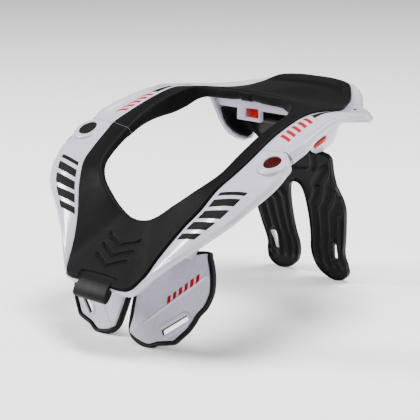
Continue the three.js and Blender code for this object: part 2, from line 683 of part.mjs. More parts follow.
function rearBracket(cutter) {
  const half = wingHalfWidth - stripInset;
  const back = bracketFront + bracketThick;
  const strip = boxBetween(vec(-half, bracketFront, stripBottom), vec(half, back, stripTop));
  const tab = boxBetween(vec(-tabFar, bracketFront, tabLow), vec(-tabNear, back, stripTop));
  const wings = mirroredPair((side) => wingLayer(wingOutline, 0, wingThick, side));
  const pocket = frontClipBox(fit, clipTravel, -pocketProud, clipSeat);
  const sidePockets = mirroredPair((side) => (
    sideClipBox(side, fit, clipTravel, pocketProud, clipSeat)
  ));
  return largest(cutAll(joinAll(strip, [tab, ...wings]), [pocket, ...sidePockets, cutter]));
}

const clipProud = clipThick - clipSeat + fit;
const frontClip = () => frontClipBox(0, 0, -clipProud, clipSeat - fit);
const sideClip = (side) => sideClipBox(side, 0, 0, clipProud, clipSeat - fit);
const wingPad = (side, cutter) => (
  wingLayer(wingPadOutline, wingThick + fit, wingThick + wingPadThick, side).subtract(cutter)
);

// Outline of the strut's legs, left half, from the bend down its outer side, round the foot and
// up the gap. Columns: out as a share of legHalfWidth, up as a share of the legs' length.
const legOutline = [
  [0.62, legTop], [0.74, 1], [0.81, 0.965], [0.83, 0.91], [0.82, 0.855], [0.85, 0.8], [0.9, 0.74],
  [0.965, 0.67], [1, 0.595], [0.975, 0.5], [0.935, 0.4], [0.885, 0.3], [0.84, 0.2],
  [0.87, 0.165], [0.885, 0.11], [0.82, 0.05], [0.72, 0.008], [0.66, 0], [0.57, 0], [0.4, 0.03],
  [0.24, 0.08], [0.16, 0.15], [0.14, 0.22], [0.16, 0.28], [0.185, 0.34], [0.2, 0.44],
  [0.2, 0.53], [0.18, 0.63], [0.16, 0.69], [0.11, 0.735], [0.05, 0.75],
];
function mirroredShape(half, width, height) {
  const left = half.map(([out, up]) => new THREE.Vector2(out * width, up * height));
  const right = left.map((point) => new THREE.Vector2(-point.x, point.y)).reverse();
  return new THREE.Shape([...right, ...left]);
}

// A sheet of the strut that leans back from the bend, drawn on X and Y with y = 0 at base.
function strutSheet(shape, lean, base) {
  const geometry = new THREE.ExtrudeGeometry(shape, { depth: strutThick, bevelEnabled: false });
  const matrix = new THREE.Matrix4().makeTranslation(0, strutBendBack, strutBendHeight)
    .multiply(new THREE.Matrix4().makeRotationX(Math.PI / 2 + radians(lean)))
    .multiply(new THREE.Matrix4().makeTranslation(0, -base, -strutThick));
  return { geometry, matrix };
}

// Half width of the top plate at a height, which follows the wings' pads.
function topPlateHalf(height) {
  const inside = (wingThick + wingPadThick + strutWingGap) / Math.cos(radians(wingTurn));
  return wingHalfWidth - (wingHeight - height) * Math.tan(radians(wingTurn)) - inside;
}

function backStrut() {
  const lean = radians(legLean);
  const legDrop = (strutBendHeight + strutThick * Math.sin(lean)) / Math.cos(lean);
  const legShape = mirroredShape(legOutline, legHalfWidth, legDrop / legTop);
  const legs = strutSheet(legShape, legLean, legDrop);
  const topRise = (strutTopHeight - strutBendHeight) / Math.cos(radians(topPlateLean));
  const lowHeight = strutBendHeight + topPlateNeck;
  const lowHalf = topPlateHalf(lowHeight);
  const lowRise = topRise * (lowHeight - strutBendHeight) / (strutTopHeight - strutBendHeight);
  const topShape = mirroredShape([
    [lowHalf, -topPlateLap], [lowHalf, lowRise], [topPlateHalf(strutTopHeight), topRise],
  ], 1, 1);
  const top = strutSheet(topShape, topPlateLean, 0);
  const slots = mirroredPair((side) => {
    const tool = slotTool(strutSlotLength, strutSlotWidth, 90 - side * strutSlotTurn,
      side * strutSlotOut, strutSlotUp, 3 * strutThick);
    return solidOf(tool, legs.matrix);
  });
  const trunnionBack = strutBendBack - trunnionProud
    - (trunnionHeight - strutBendHeight) * Math.tan(radians(topPlateLean));
  const trunnionHalf = topPlateHalf(trunnionHeight - trunnionRadius) + strutWingGap - fit;
  const trunnion = solidOf(
    new THREE.CylinderGeometry(trunnionRadius, trunnionRadius, 2 * trunnionHalf, 16)
      .rotateZ(Math.PI / 2).translate(0, trunnionBack, trunnionHeight),
  );
  const whole = solidOf(legs.geometry, legs.matrix).add(solidOf(top.geometry, top.matrix));
  return cutAll(whole.add(trunnion), [...slots, underFloor()]);
}

const finishes = {
  shell: { color: 0xd9d6e0, roughness: 0.28, metalness: 0 },
  foam: { color: 0x262628, roughness: 0.75, metalness: 0 },
  rubber: { color: 0x17171a, roughness: 0.6, metalness: 0 },
  strut: { color: 0x1f1f23, roughness: 0.5, metalness: 0 },
  clip: { color: 0xe02a24, roughness: 0.35, metalness: 0 },
  button: { color: 0x6b0413, roughness: 0.3, metalness: 0 },
};

const brace = new THREE.Group();
brace.position.y = -originSetback;

function addPiece(name, solid, finish) {
  const mesh = new THREE.Mesh(geometryOf(solid), new THREE.MeshStandardMaterial(finishes[finish]));
  mesh.name = name;
  brace.add(mesh);
}

const sideNames = new Map([[1, 'left'], [-1, 'right']]);

addPiece('front_shell', frontShell(), 'shell');
addPiece('front_pad', frontPad(), 'foam');
addPiece('front_tab', frontTab(), 'rubber');
addPiece('rear_shell', rearShell(), 'shell');
addPiece('rear_pad', rearPad(), 'foam');
const tableTool = collarCutter(lastRow, seamRow + 2);
addPiece('rear_bracket', rearBracket(tableTool), 'shell');
addPiece('strut_clip_front', frontClip(), 'clip');
addPiece('back_strut', backStrut(), 'strut');
addPiece('pivot_cap', pivotCap(), 'rubber');
addPiece('release_button', releaseButton(), 'button');

const plateTool = collarCutter(0, seamRow - 1);
for (const [side, sideName] of sideNames) {
  const { plate, backing } = chestPieces(side, plateTool);
  addPiece(`chest_plate_${sideName}`, plate, 'shell');
  addPiece(`chest_pad_${sideName}`, backing, 'rubber');
  addPiece(`strut_clip_side_${sideName}`, sideClip(side), 'clip');
  addPiece(`wing_pad_${sideName}`, wingPad(side, tableTool), 'rubber');
}

const part = new THREE.Group();
part.add(brace);

export default part;
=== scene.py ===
# %% [markdown]
# A motocross neck brace: a rigid collar in two halves, with foam pads on top, two chest plates in
# front and a two-legged strut behind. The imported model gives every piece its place, so this
# lesson only makes the visible skins and finishes over it.
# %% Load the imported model
import json
import math

import bmesh
import bpy
import numpy as np
from mathutils import Matrix, Vector


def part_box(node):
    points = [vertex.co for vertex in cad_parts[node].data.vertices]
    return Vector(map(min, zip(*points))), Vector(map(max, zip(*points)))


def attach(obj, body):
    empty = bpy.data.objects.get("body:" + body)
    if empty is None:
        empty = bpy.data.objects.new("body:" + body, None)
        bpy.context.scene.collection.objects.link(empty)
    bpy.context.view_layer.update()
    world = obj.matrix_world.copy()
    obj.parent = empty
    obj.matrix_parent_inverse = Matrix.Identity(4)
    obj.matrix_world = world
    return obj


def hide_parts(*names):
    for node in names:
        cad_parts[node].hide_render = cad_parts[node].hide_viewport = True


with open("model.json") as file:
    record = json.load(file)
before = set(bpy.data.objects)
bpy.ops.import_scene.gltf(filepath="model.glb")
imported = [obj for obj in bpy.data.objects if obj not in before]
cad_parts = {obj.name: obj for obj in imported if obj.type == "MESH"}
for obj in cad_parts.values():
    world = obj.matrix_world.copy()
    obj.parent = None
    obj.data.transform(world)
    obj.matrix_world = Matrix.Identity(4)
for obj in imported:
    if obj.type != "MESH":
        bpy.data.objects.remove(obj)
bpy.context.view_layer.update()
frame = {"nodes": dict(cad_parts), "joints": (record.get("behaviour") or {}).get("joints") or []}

# %% [markdown]
# Every object is put into the scene in the same way, and a modifier's result is turned into plain
# mesh in the same way, so two small functions do it.
# %% Adding and baking objects


def add_object(name, data):
    thing = bpy.data.objects.new(name, data)
    bpy.context.scene.collection.objects.link(thing)
    return thing


def bake(thing):
    graph = bpy.context.evaluated_depsgraph_get()
    mesh = bpy.data.meshes.new_from_object(thing.evaluated_get(graph))
    thing.modifiers.clear()
    thing.data = mesh


# %% [markdown]
# The camera looks from the wearer's front left, a little above the collar. Its angle and distance
# were worked out from pairs of points that mirror each other across the brace.
# %% Camera
camera_place = Vector((0.9086, -1.01465, 0.453))
camera_target = Vector((0, -0.0056, 0.1018))
focal_pixels = 1419
image_width = 420
sensor_width = 36


def make_camera():
    data = bpy.data.cameras.new("camera")
    data.sensor_width = sensor_width
    data.lens = sensor_width * focal_pixels / image_width
    camera = add_object("camera", data)
    camera.location = camera_place
    camera.rotation_euler = (camera_target - camera_place).to_track_quat("-Z", "Y").to_euler()
    bpy.context.scene.camera = camera
    print("camera distance", round((camera_target - camera_place).length, 3), "m")


make_camera()

# %% [markdown]
# A product photo like this one uses a pale floor that runs into a pale background, and large soft
# lights. The key lamp in front gives the gloss its long highlights, the fill lifts the shadows, the
# rim lamp behind draws a bright line on the edges, and the strongest one hangs overhead.
# %% Floor and lights
floor_half = 6.0
world_strength = 0.38
lamp_aim = Vector((0, 0, 0.1))
# place, size and power of each lamp
lamps = {
    "key": ((-1.5, -1.2, 1.3), 0.7, 80),
    "fill": ((1.9, -1.1, 0.8), 0.9, 12),
    "rim": ((1.5, 1.5, 1.0), 0.9, 35),
    "top": ((0.2, 0.3, 2.6), 1.0, 125),
}


def make_floor(material):
    mesh = bpy.data.meshes.new("floor")
    corners = [(-1, -1), (1, -1), (1, 1), (-1, 1)]
    mesh.from_pydata([(x * floor_half, y * floor_half, 0) for x, y in corners], [], [(0, 1, 2, 3)])
    mesh.materials.append(material)
    add_object("floor", mesh)


def make_lamps():
    for name, (place, size, power) in lamps.items():
        data = bpy.data.lights.new(name, "AREA")
        data.size = size
        data.energy = power
        lamp = add_object(name, data)
        lamp.location = place
        lamp.rotation_euler = (lamp_aim - Vector(place)).to_track_quat("-Z", "Y").to_euler()
    world = bpy.data.worlds.new("studio")
    world.use_nodes = True
    background = world.node_tree.nodes["Background"]
    background.inputs["Color"].default_value = (1, 1, 1, 1)
    background.inputs["Strength"].default_value = world_strength
    bpy.context.scene.world = world
    print("lamps:", len(lamps))


make_lamps()

# %% [markdown]
# Materials are small sums of noise. To write such a sum as plain arithmetic, a class wraps a
# node's output and turns + and * into Math nodes.
# %% Arithmetic on node sockets


class Value:
    def __init__(self, tree, socket):
        self.tree = tree
        self.socket = socket

    def join(self, operation, first, second):
        node = self.tree.nodes.new("ShaderNodeMath")
        node.operation = operation
        for socket, value in zip(node.inputs, (first, second)):
            if isinstance(value, Value):
                self.tree.links.new(value.socket, socket)
            else:
                socket.default_value = value
        return Value(self.tree, node.outputs[0])

    def __add__(self, other):
        return self.join("ADD", self, other)

    __radd__ = __add__

    def __mul__(self, other):
        return self.join("MULTIPLY", self, other)

    __rmul__ = __mul__


# %% [markdown]
# Every finish starts the same way: a Principled shader, whose steady numbers sit on its own
# sockets, and a few textures that change colour, roughness and the surface's tiny relief.
# %% A finish


class Finish:
    def __init__(self, name, **steady):
        self.material = bpy.data.materials.new(name)
        self.material.use_nodes = True
        self.tree = self.material.node_tree
        self.shader = self.tree.nodes["Principled BSDF"]
        for socket, value in steady.items():
            self.shader.inputs[socket.replace("_", " ")].default_value = value
        self.place = self.node("ShaderNodeTexCoord").outputs["Object"]

    def node(self, kind, settings=None, **inputs):
        node = self.tree.nodes.new(kind)
        for key, value in (settings or {}).items():
            setattr(node, key, value)
        for key, value in inputs.items():
            self.feed(node.inputs[key.replace("_", " ")], value)
        return node

    def feed(self, socket, value):
        if isinstance(value, Value):
            self.tree.links.new(value.socket, socket)
        elif isinstance(value, bpy.types.NodeSocket):
            self.tree.links.new(value, socket)
        else:
            socket.default_value = value

    def noise(self, scale, detail=2.0, rough=0.5):
        node = self.node("ShaderNodeTexNoise", Vector=self.place, Scale=scale, Detail=detail,
                         Roughness=rough)
        return Value(self.tree, node.outputs["Fac"])

    def cells(self, scale):
        node = self.node("ShaderNodeTexVoronoi", Vector=self.place, Scale=scale)
        return Value(self.tree, node.outputs["Distance"])

    def mix(self, share, first, second):
        node = self.node("ShaderNodeMix", {"data_type": "RGBA"})
        self.feed(node.inputs[0], share)
        self.feed(node.inputs[6], first)
        self.feed(node.inputs[7], second)
        return node.outputs[2]

    def relief(self, height, depth):
        node = self.node("ShaderNodeBump", Height=height, Strength=1.0, Distance=depth)
        self.feed(self.shader.inputs["Normal"], node.outputs[0])

    def set(self, socket, value):
        self.feed(self.shader.inputs[socket], value)

    def colour(self, low, high, *drift):
        self.set("Base Color", self.mix(self.noise(*drift), (*low, 1), (*high, 1)))


# %% [markdown]
# The shells are glossy moulded nylon, white with a lavender cast. Real mouldings are never one
# flat white: the wall behind the surface changes slowly, and the gloss has a faint orange peel.
# %% Glossy shell


def glossy_shell():
    finish = Finish("shell_gloss", Coat_Weight=0.5, Coat_Roughness=0.05, IOR=1.5)
    finish.colour((0.4, 0.385, 0.47), (0.44, 0.425, 0.51), 7, 1)
    finish.set("Roughness", 0.22 + 0.1 * finish.noise(60, 3))
    finish.relief(finish.noise(420, 1), 0.00004)
    return finish.material


# %% [markdown]
# The pads are closed-cell foam pressed in a mould: charcoal, satin, with a fine skin of tiny
# cells and a slow change from pressing.
# %% Pressed foam


def pressed_foam():
    finish = Finish("foam_skin", Specular_IOR_Level=0.06)
    finish.colour((0.0012, 0.0011, 0.0014), (0.003, 0.0028, 0.0034), 26, 4, 0.6)
    finish.set("Roughness", 0.48 + 0.16 * finish.noise(180, 3))
    finish.relief(0.6 * finish.noise(2600, 2) + 0.4 * finish.cells(1500), 0.00009)
    return finish.material


# %% [markdown]
# Rubber, strut plastic and cap share one recipe with other numbers: a dark colour, a grain as
# coarse as the mould's texture, and a roughness that drifts.
# %% Dark mouldings


def dark_moulding(name, low, high, roughness, grain, depth):
    finish = Finish(name, Specular_IOR_Level=0.1)
    finish.colour(low, high, 40, 3)
    finish.set("Roughness", roughness - 0.06 + 0.14 * finish.noise(150, 3))
    finish.relief(finish.noise(grain, 2), depth)
    return finish.material


# %% [markdown]
# Clips and button are tinted gloss plastic. The colour deepens a little where the noise is low,
# as it does in a thick moulding. Ink is matt and a little worn, and the floor is pale paper.
# %% Tinted plastic, ink and floor


def tinted_plastic(name, deep, bright, roughness):
    finish = Finish(name, Specular_IOR_Level=0.1)
    finish.colour(deep, bright, 220, 2)
    finish.set("Roughness", roughness + 0.1 * finish.noise(300, 2))
    finish.relief(finish.noise(900, 1), 0.00003)
    return finish.material


def printed_ink(name, colour):
    finish = Finish(name, Specular_IOR_Level=0.06)
    worn = tuple(min(1, 1.35 * part + 0.002) for part in colour)
    finish.colour(colour, worn, 500, 4, 0.7)
    finish.set("Roughness", 0.5 + 0.15 * finish.noise(240, 2))
    return finish.material


def pale_floor():
    finish = Finish("floor_paper", Roughness=0.9)
    finish.colour((0.93, 0.93, 0.935), (0.95, 0.95, 0.955), 3, 2)
    return finish.material


shell_gloss = glossy_shell()
foam_skin = pressed_foam()
rubber = dark_moulding(
    "black_rubber", (0.003, 0.003, 0.0033), (0.006, 0.006, 0.0066), 0.5, 1600, 0.00007)
strut_plastic = dark_moulding(
    "strut_plastic", (0.0028, 0.0028, 0.0032), (0.0056, 0.0056, 0.0064), 0.34, 900, 0.00006)
cap_plastic = dark_moulding(
    "cap_plastic", (0.003, 0.003, 0.0032), (0.006, 0.006, 0.0064), 0.6, 1200, 0.00005)
clip_red = tinted_plastic("clip_red", (0.3, 0.0015, 0.001), (0.4, 0.003, 0.002), 0.26)
button_red = tinted_plastic("button_red", (0.02, 0, 0.0002), (0.045, 0.0001, 0.0006), 0.24)
ink_black = printed_ink("ink_black", (0.002, 0.002, 0.0023))
ink_red = printed_ink("ink_red", (0.26, 0.002, 0.006))
make_floor(pale_floor())
print("materials:", len(bpy.data.materials))

# %% [markdown]
# The collar follows the same rows as the solid under it: at each row three points, one on the
# crest of the opening, one where pad meets shell and one on the rim. Shares of a few real lengths
# keep the rows short. Lengths here are millimetres, and turn to metres when a mesh is made.
# %% Sizes of the collar
pivot_half_width = 120
pivot_height = 174
collar_slope = math.radians(27)
seam_setback = 12
seam_height = 182
front_length = 121.5
front_drop = 120.5
rear_length = 216
rear_rise = 33
pad_lift = 2
pad_seat = 5
pad_round = 3.5
pad_wall = 8
inner_depth = 20
shell_depth = 9
rim_wall = 12
rim_round = 3
rim_bevel = 3.6
rim_lip = 8
least_lip = 0.5
table_dip = 5
origin_setback = 54.55
fit = 0.35
swing_fit = 0.6

# crest x y z, edge x y z, rim x y z, lift, inner wall, outer wall, table recess
front_rows = [
    [0, -0.53, -0.57, 0, -0.988, -0.995, 0, -1, -1, 1.5, 0.4, 0.7, 0],
    [0.033, -0.53, -0.567, 0.142, -0.988, -0.995, 0.146, -1, -1, 1.5, 0.4, 0.7, 0],
    [0.067, -0.53, -0.562, 0.275, -0.984, -0.998, 0.283, -0.996, -1, 1.5, 0.4, 0.7, 0],
    [0.1, -0.528, -0.555, 0.354, -0.955, -0.98, 0.371, -0.975, -0.98, 1.5, 0.4, 0.7, 0],
    [0.158, -0.522, -0.532, 0.408, -0.877, -0.905, 0.46, -0.91, -0.875, 1.5, 0.4, 0.65, 0],
    [0.242, -0.518, -0.483, 0.458, -0.774, -0.765, 0.592, -0.807, -0.76, 1.4, 0.4, 0.6, 0],
    [0.333, -0.506, -0.415, 0.525, -0.675, -0.622, 0.742, -0.708, -0.64, 1.3, 0.4, 0.58, 0],
    [0.417, -0.482, -0.353, 0.592, -0.6, -0.506, 0.883, -0.634, -0.523, 1.2, 0.4, 0.56, 0],
    [0.492, -0.44, -0.29, 0.662, -0.523, -0.4, 1.008, -0.56, -0.411, 1.2, 0.4, 0.56, 0],
    [0.558, -0.366, -0.228, 0.729, -0.412, -0.253, 1.096, -0.428, -0.286, 1.2, 0.4, 0.58, 0],
    [0.604, -0.247, -0.158, 0.77, -0.25, -0.15, 1.146, -0.27, -0.174, 1.2, 0.4, 0.64, 0],
    [0.62, -0.099, -0.066, 0.792, -0.099, -0.06, 1.137, -0.123, -0.083, 1.2, 0.42, 0.74, 0],
]
rear_rows = [
    [0.625, 0, -0.04, 0.802, 0, 0, 1.092, 0, -0.03, 1.2, 0.5, 0.84, 0],
    [0.633, 0.083, 0.24, 0.79, 0.083, 0.22, 1.12, 0.079, 0.2, 1.2, 0.6, 0.72, 0],
    [0.642, 0.181, 0.5, 0.783, 0.181, 0.44, 1.1, 0.176, 0.41, 1.1, 0.8, 0.5, 0],
    [0.633, 0.282, 0.71, 0.783, 0.282, 0.62, 1.08, 0.282, 0.59, 1, 1, 0.4, 0],
    [0.583, 0.352, 0.86, 0.796, 0.356, 0.69, 1.083, 0.37, 0.66, 1, 0.95, 0.38, 0],
    [0.5, 0.389, 0.94, 0.825, 0.426, 0.7, 1.117, 0.444, 0.64, 1, 0.7, 0.4, 0],
    [0.417, 0.405, 0.97, 0.85, 0.486, 0.66, 1.167, 0.505, 0.62, 1, 0.57, 0.42, 0],
    [0.358, 0.41, 0.98, 0.82, 0.549, 0.63, 1.108, 0.567, 0.62, 1, 0.55, 0.45, 0],
    [0.308, 0.412, 0.985, 0.762, 0.611, 0.6, 0.967, 0.63, 0.64, 1, 0.55, 0.45, 0],
    [0.258, 0.412, 0.985, 0.696, 0.667, 0.56, 0.858, 0.685, 0.66, 1, 0.55, 0.45, 0],
    [0.217, 0.412, 0.985, 0.63, 0.731, 0.54, 0.775, 0.745, 0.68, 1, 0.55, 0.45, 0],
    [0.167, 0.412, 0.985, 0.558, 0.81, 0.57, 0.667, 0.829, 0.73, 1, 0.55, 0.45, 0],
    [0.117, 0.412, 0.985, 0.471, 0.88, 0.7, 0.55, 0.907, 0.79, 1, 0.55, 0.5, 0.3],
    [0.067, 0.412, 0.985, 0.375, 0.933, 0.89, 0.417, 0.968, 0.84, 1, 0.55, 0.5, 0.9],
    [0.033, 0.412, 0.985, 0.192, 0.956, 0.96, 0.208, 0.995, 0.86, 1, 0.55, 0.5, 1],
    [0, 0.412, 0.985, 0, 0.958, 0.97, 0, 1, 0.87, 1, 0.55, 0.5, 1],
]
seam_row = len(front_rows)
last_row = len(front_rows) + len(rear_rows) - 1
print("rows of the collar:", last_row + 1)

# %% [markdown]
# A smooth curve runs through the rows, with slopes taken from the neighbours on either side. At
# both ends the next row is the mirror image of the one before, so the two halves meet smoothly.
# %% Rails between the rows


def row_in_millimetres(row, is_rear):
    length, rise = (rear_length, rear_rise) if is_rear else (front_length, front_drop)
    size = np.array([pivot_half_width, length, rise] * 3)
    start = np.array([0, seam_setback, seam_height] * 3)
    extras = np.array(row[9:]) * [pad_lift, inner_depth, rim_wall, table_dip]
    return np.concatenate([start + np.array(row[:9]) * size, extras])


def hermite(first, second, slope_first, slope_second, t):
    return (first * (2 * t**3 - 3 * t**2 + 1) + slope_first * (t**3 - 2 * t**2 + t)
            + second * (3 * t**2 - 2 * t**3) + slope_second * (t**3 - t**2))


rows = [row_in_millimetres(row, False) for row in front_rows]
rows += [row_in_millimetres(row, True) for row in rear_rows]
mirror_flips = np.array([-1, 1, 1] * 3 + [1] * 4)


def row_at(index):
    if index < 0:
        return rows[-index] * mirror_flips
    if index > last_row:
        return rows[2 * last_row - index] * mirror_flips
    return rows[index]


def rails_at(place):
    start = min(int(math.floor(place)), last_row - 1)
    t = place - start
    before, first, second, after = (row_at(start + step) for step in (-1, 0, 1, 2))
    return hermite(first, second, (second - before) / 2, (after - first) / 2, t)


# %% [markdown]
# A section holds the rails' values at one place along the collar, on one side, and the direction
# that points straight up from the collar's face there.
# %% Section
slope_step = 0.25


class Section:
    def __init__(self, place, side):
        values = rails_at(place)
        flip = np.array([side, 1, 1])
        self.place = place
        self.crest, self.edge, self.rim = (values[k:k + 3] * flip for k in (0, 3, 6))
        self.lift, self.inner, self.wall, self.dip = values[9:]
        ahead = rails_at(min(place + slope_step, last_row))
        behind = rails_at(max(place - slope_step, 0))
        along = (ahead[3:6] - behind[3:6]) * flip
        if place < slope_step or place > last_row - slope_step:
            along = np.array([side, 0, 0])
        self.up = unit(np.cross(along, self.rim - self.crest))
        if self.up[2] < 0:
            self.up = -self.up


def unit(vector):
    return vector / np.linalg.norm(vector)


def lerp(first, second, share):
    return first + (second - first) * share


def smooth_step(low, high, value):
    t = min(1, max(0, (value - low) / (high - low)))
    return t * t * (3 - 2 * t)


def falloff(low, high, value):
    return 1 - smooth_step(low, high, value)


# %% [markdown]
# The shell's face isn't flat. Each rear arm has a scoop that runs from the pivot to the flared
# corner, and each front arm falls away from a soft crease towards its rim and dips before the
# pivot's boss. One function gives the height at any spot, for the shell and for the prints on it.
# %% Relief of the shell
scoop_depth = 4.4
scoop_line = 0.6
crease_fall = 1.8
boss_dish = 2.2
dish_place = 10.35
face_swell = 0.24


def shell_height(place, share, width):
    swell = face_swell * width * share * (1 - share)
    behind = place - seam_row
    scoop = smooth_step(-0.2, 0.9, behind) * falloff(2.6, 5.6, behind)
    from_middle = share - scoop_line - 0.035 * behind
    across = math.exp(-(from_middle / (0.3 if from_middle < 0 else 0.11)) ** 2)
    before = smooth_step(1.5, 4, place) * falloff(9.4, 10.6, place)
    crease = before * smooth_step(0.5, 1, share) * (1 - smooth_step(0.5, 1, share) * 0.35)
    dish = math.exp(-((place - dish_place) / 0.3) ** 2) * smooth_step(0.02, 0.3, share)
    return swell - scoop * across * scoop_depth - crease * crease_fall - dish * boss_dish


def shell_point(section, share, lift=0.0):
    width = np.linalg.norm(section.rim - section.edge)
    height = shell_height(section.place, share, width)
    return section.edge + (section.rim - section.edge) * share + section.up * (height + lift)


def shell_outline(section):
    outward = section.rim - section.edge
    width = np.linalg.norm(outward)
    outward = outward / width
    inward = unit(section.edge - section.crest)
    bevel = min(rim_bevel, 0.4 * width)
    lip = min(rim_lip, 0.8 * width + least_lip)
    up, rim, wall = section.up, section.rim, section.wall
    points = [shell_point(section, (1 - bevel / width) * k / 16) for k in range(17)]
    for out, down in ((0.9, 0.04), (0.72, 0.2), (0.3, 0.62), (0.1, 0.84), (0.02, 1)):
        points.append(rim - outward * bevel * out - up * rim_round * down)
    points += [rim - up * lerp(rim_round, wall, k / 4) - outward * 0.12 * wall * k / 4
               for k in (1, 2, 3)]
    points += [
        rim - up * (wall - 0.8) - outward * 0.11 * wall,
        rim - up * wall - outward * (0.12 * wall + 0.8),
        rim - up * wall - outward * lip,
        section.edge - up * shell_depth,
        section.crest - up * shell_depth + inward * pad_wall,
        section.crest - up * pad_seat + inward * pad_wall,
        section.edge - up * pad_seat,
    ]
    return points


# %% [markdown]
# The foam stands a little proud of the shell with a rolled edge, has a long pressed recess across
# the broad table behind the neck, and wraps the edge of the opening as a soft, rounded wall. The
# sloped face in front carries pressed grooves: here a plain set of nested chevrons.
# %% Relief of the pad
pad_bevel = 2.4
edge_roll = 2.05
deepest_hollow = 0.6
table_starts = 5
groove_depth = 1.7
groove_half_width = 1.9
chevron_starts = (17, 29, 41)
chevron_slope = 0.6
chevron_reach = 21
tab_half_width = 22.5
notch_reach = 8
notch_depth = 1.8


def pad_height(section, share, width, point):
    recess = section.dip * smooth_step(0.075, 0.105, share) * falloff(0.3, 0.42, share)
    if section.place > table_starts:
        return -recess
    along, out = share * width, abs(point[0])
    ends = falloff(chevron_reach - 1.5, chevron_reach, out)
    pressed = 0
    for start in chevron_starts:
        distance = abs(along - start - chevron_slope * out) / math.hypot(1, chevron_slope)
        pressed = max(pressed, falloff(0.3, 1, distance / groove_half_width))
    notch = falloff(-0.7, 0.7, max(out - tab_half_width - 1, along - notch_reach))
    return -max(pressed * ends * groove_depth, notch * notch_depth)


def pad_outline(section):
    outward = unit(section.edge - section.crest)
    up = section.up
    top_edge = section.edge + up * section.lift - outward * pad_bevel
    top_crest = section.crest + outward * pad_round
    width = np.linalg.norm(top_edge - top_crest)
    hollow = min(deepest_hollow, 0.02 * width)
    points = [section.edge + up * (fit - pad_seat) - outward * fit]
    for k in range(5):
        angle = math.pi / 2 * k / 5
        points.append(section.edge - outward * (fit + edge_roll * (1 - math.cos(angle)))
                      + up * section.lift * (0.25 + 0.75 * math.sin(angle)))
    for k in range(81):
        share = k / 80
        point = lerp(top_edge, top_crest, share)
        drop = pad_height(section, share, width, point) - hollow * math.sin(math.pi * share)
        points.append(point + up * drop)
    for k in range(1, 8):
        angle = math.pi / 2 * k / 7
        points.append(section.crest + outward * pad_round * (1 - math.sin(angle))
                      - up * pad_round * (1 - math.cos(angle)))
    for share, out in ((0.35, -0.3), (0.6, -0.1), (0.85, 0.6), (0.96, 1.6), (1, 3)):
        points.append(section.crest - up * lerp(pad_round, section.inner, share) + outward * out)
    points += [
        section.crest - up * section.inner + outward * (pad_wall - fit),
        section.crest + up * (fit - pad_seat) + outward * (pad_wall - fit),
    ]
    return points


# %% [markdown]
# A loft joins the outlines ring by ring and closes both ends. Each half of the collar runs from
# its seam on one side, through the middle, to its seam on the other.
# %% Loft


def mesh_object(name, points, faces, material):
    mesh = bpy.data.meshes.new(name)
    shift = np.array([0, -origin_setback, 0])
    mesh.from_pydata([tuple((np.array(point) + shift) / 1000) for point in points], [], faces)
    mesh.materials.append(material)
    thing = add_object(name, mesh)
    fix_normals(thing)
    return thing


def fix_normals(thing):
    solid = bmesh.new()
    solid.from_mesh(thing.data)
    bmesh.ops.remove_doubles(solid, verts=solid.verts, dist=1e-6)
    bmesh.ops.recalc_face_normals(solid, faces=solid.faces)
    solid.to_mesh(thing.data)
    solid.free()


def loft(name, rings, material):
    count = len(rings[0])
    faces = []
    for ring in range(len(rings) - 1):
        start = ring * count
        for k in range(count):
            after = (k + 1) % count
            faces.append((start + k, start + after, start + count + after, start + count + k))
    faces.append(tuple(range(count - 1, -1, -1)))
    last = (len(rings) - 1) * count
    faces.append(tuple(range(last, last + count)))
    return mesh_object(name, [point for ring in rings for point in ring], faces, material)


def collar_piece(name, outline, middle, end, material, per_row=8):
    steps = round(abs(end - middle) * per_row)
    places = [lerp(end, middle, k / steps) for k in range(steps + 1)]
    rings = [outline(Section(place, 1)) for place in places]
    rings += [outline(Section(place, -1)) for place in reversed(places[:-1])]
    return loft(name, rings, material)


# %% [markdown]
# Booleans cut the seam, the pockets and the bores. The cutters are plain prisms and turned discs
# that stand on the collar's slope at each pivot, so one matrix places them all.
# %% Pivot tools
boss_radius = 15.5
boss_top = 2
lap_depth = 5
tongue_radius = 14.6
tongue_bottom = 9.4
neck_half_width = 8
seam_line = 13.3
pin_radius = 3.6
cap_radius = 9.6
cap_depth = 2
button_radius = 8.5
button_height = 3.1
button_proud = 0.4
button_travel = 2.5
seam_widen = 0.06
neck_reach = 8
far = 90


def pivot_matrix(side):
    place = Matrix.Translation((side * pivot_half_width, 0, pivot_height))
    return place @ Matrix.Rotation(collar_slope, 4, "X")


def turned(name, profile, side, material, steps=72):
    points = []
    faces = []
    matrix = pivot_matrix(side)
    for k in range(steps):
        angle = 2 * math.pi * k / steps
        for radius, height in profile:
            spot = (radius * math.cos(angle), radius * math.sin(angle), height)
            points.append(matrix @ Vector(spot))
    count = len(profile)
    for k in range(steps):
        here, after = k * count, (k + 1) % steps * count
        faces += [(here + j, after + j, after + j + 1, here + j + 1) for j in range(count - 1)]
    faces.append(tuple(k * count for k in range(steps)))
    faces.append(tuple(k * count + count - 1 for k in range(steps)))
    return mesh_object(name, points, faces, material)


def disc(radius, low, high, side, top_radius=None):
    return turned("tool", [(radius, low), (top_radius or radius, high)], side, shell_gloss)


def prism(outline, matrix, low, high):
    points = [matrix @ Vector((x, y, z)) for z in (low, high) for x, y in outline]
    count = len(outline)
    faces = [tuple(range(count)), tuple(range(count, 2 * count))]
    faces += [(k, (k + 1) % count, count + (k + 1) % count, count + k) for k in range(count)]
    return mesh_object("tool", points, faces, shell_gloss)


def pivot_prism(outline, side, low=-60, high=60):
    return prism(outline, pivot_matrix(side) @ Matrix.Diagonal((side, 1, 1, 1)), low, high)


def rectangle(left, right, low, high):
    return [(left, low), (right, low), (right, high), (left, high)]


def arc(radius_at, start, end, count=24):
    angles = [lerp(start, end, k / count) for k in range(count + 1)]
    return [(radius_at(a) * math.sin(math.radians(a)), radius_at(a) * math.cos(math.radians(a)))
            for a in angles]


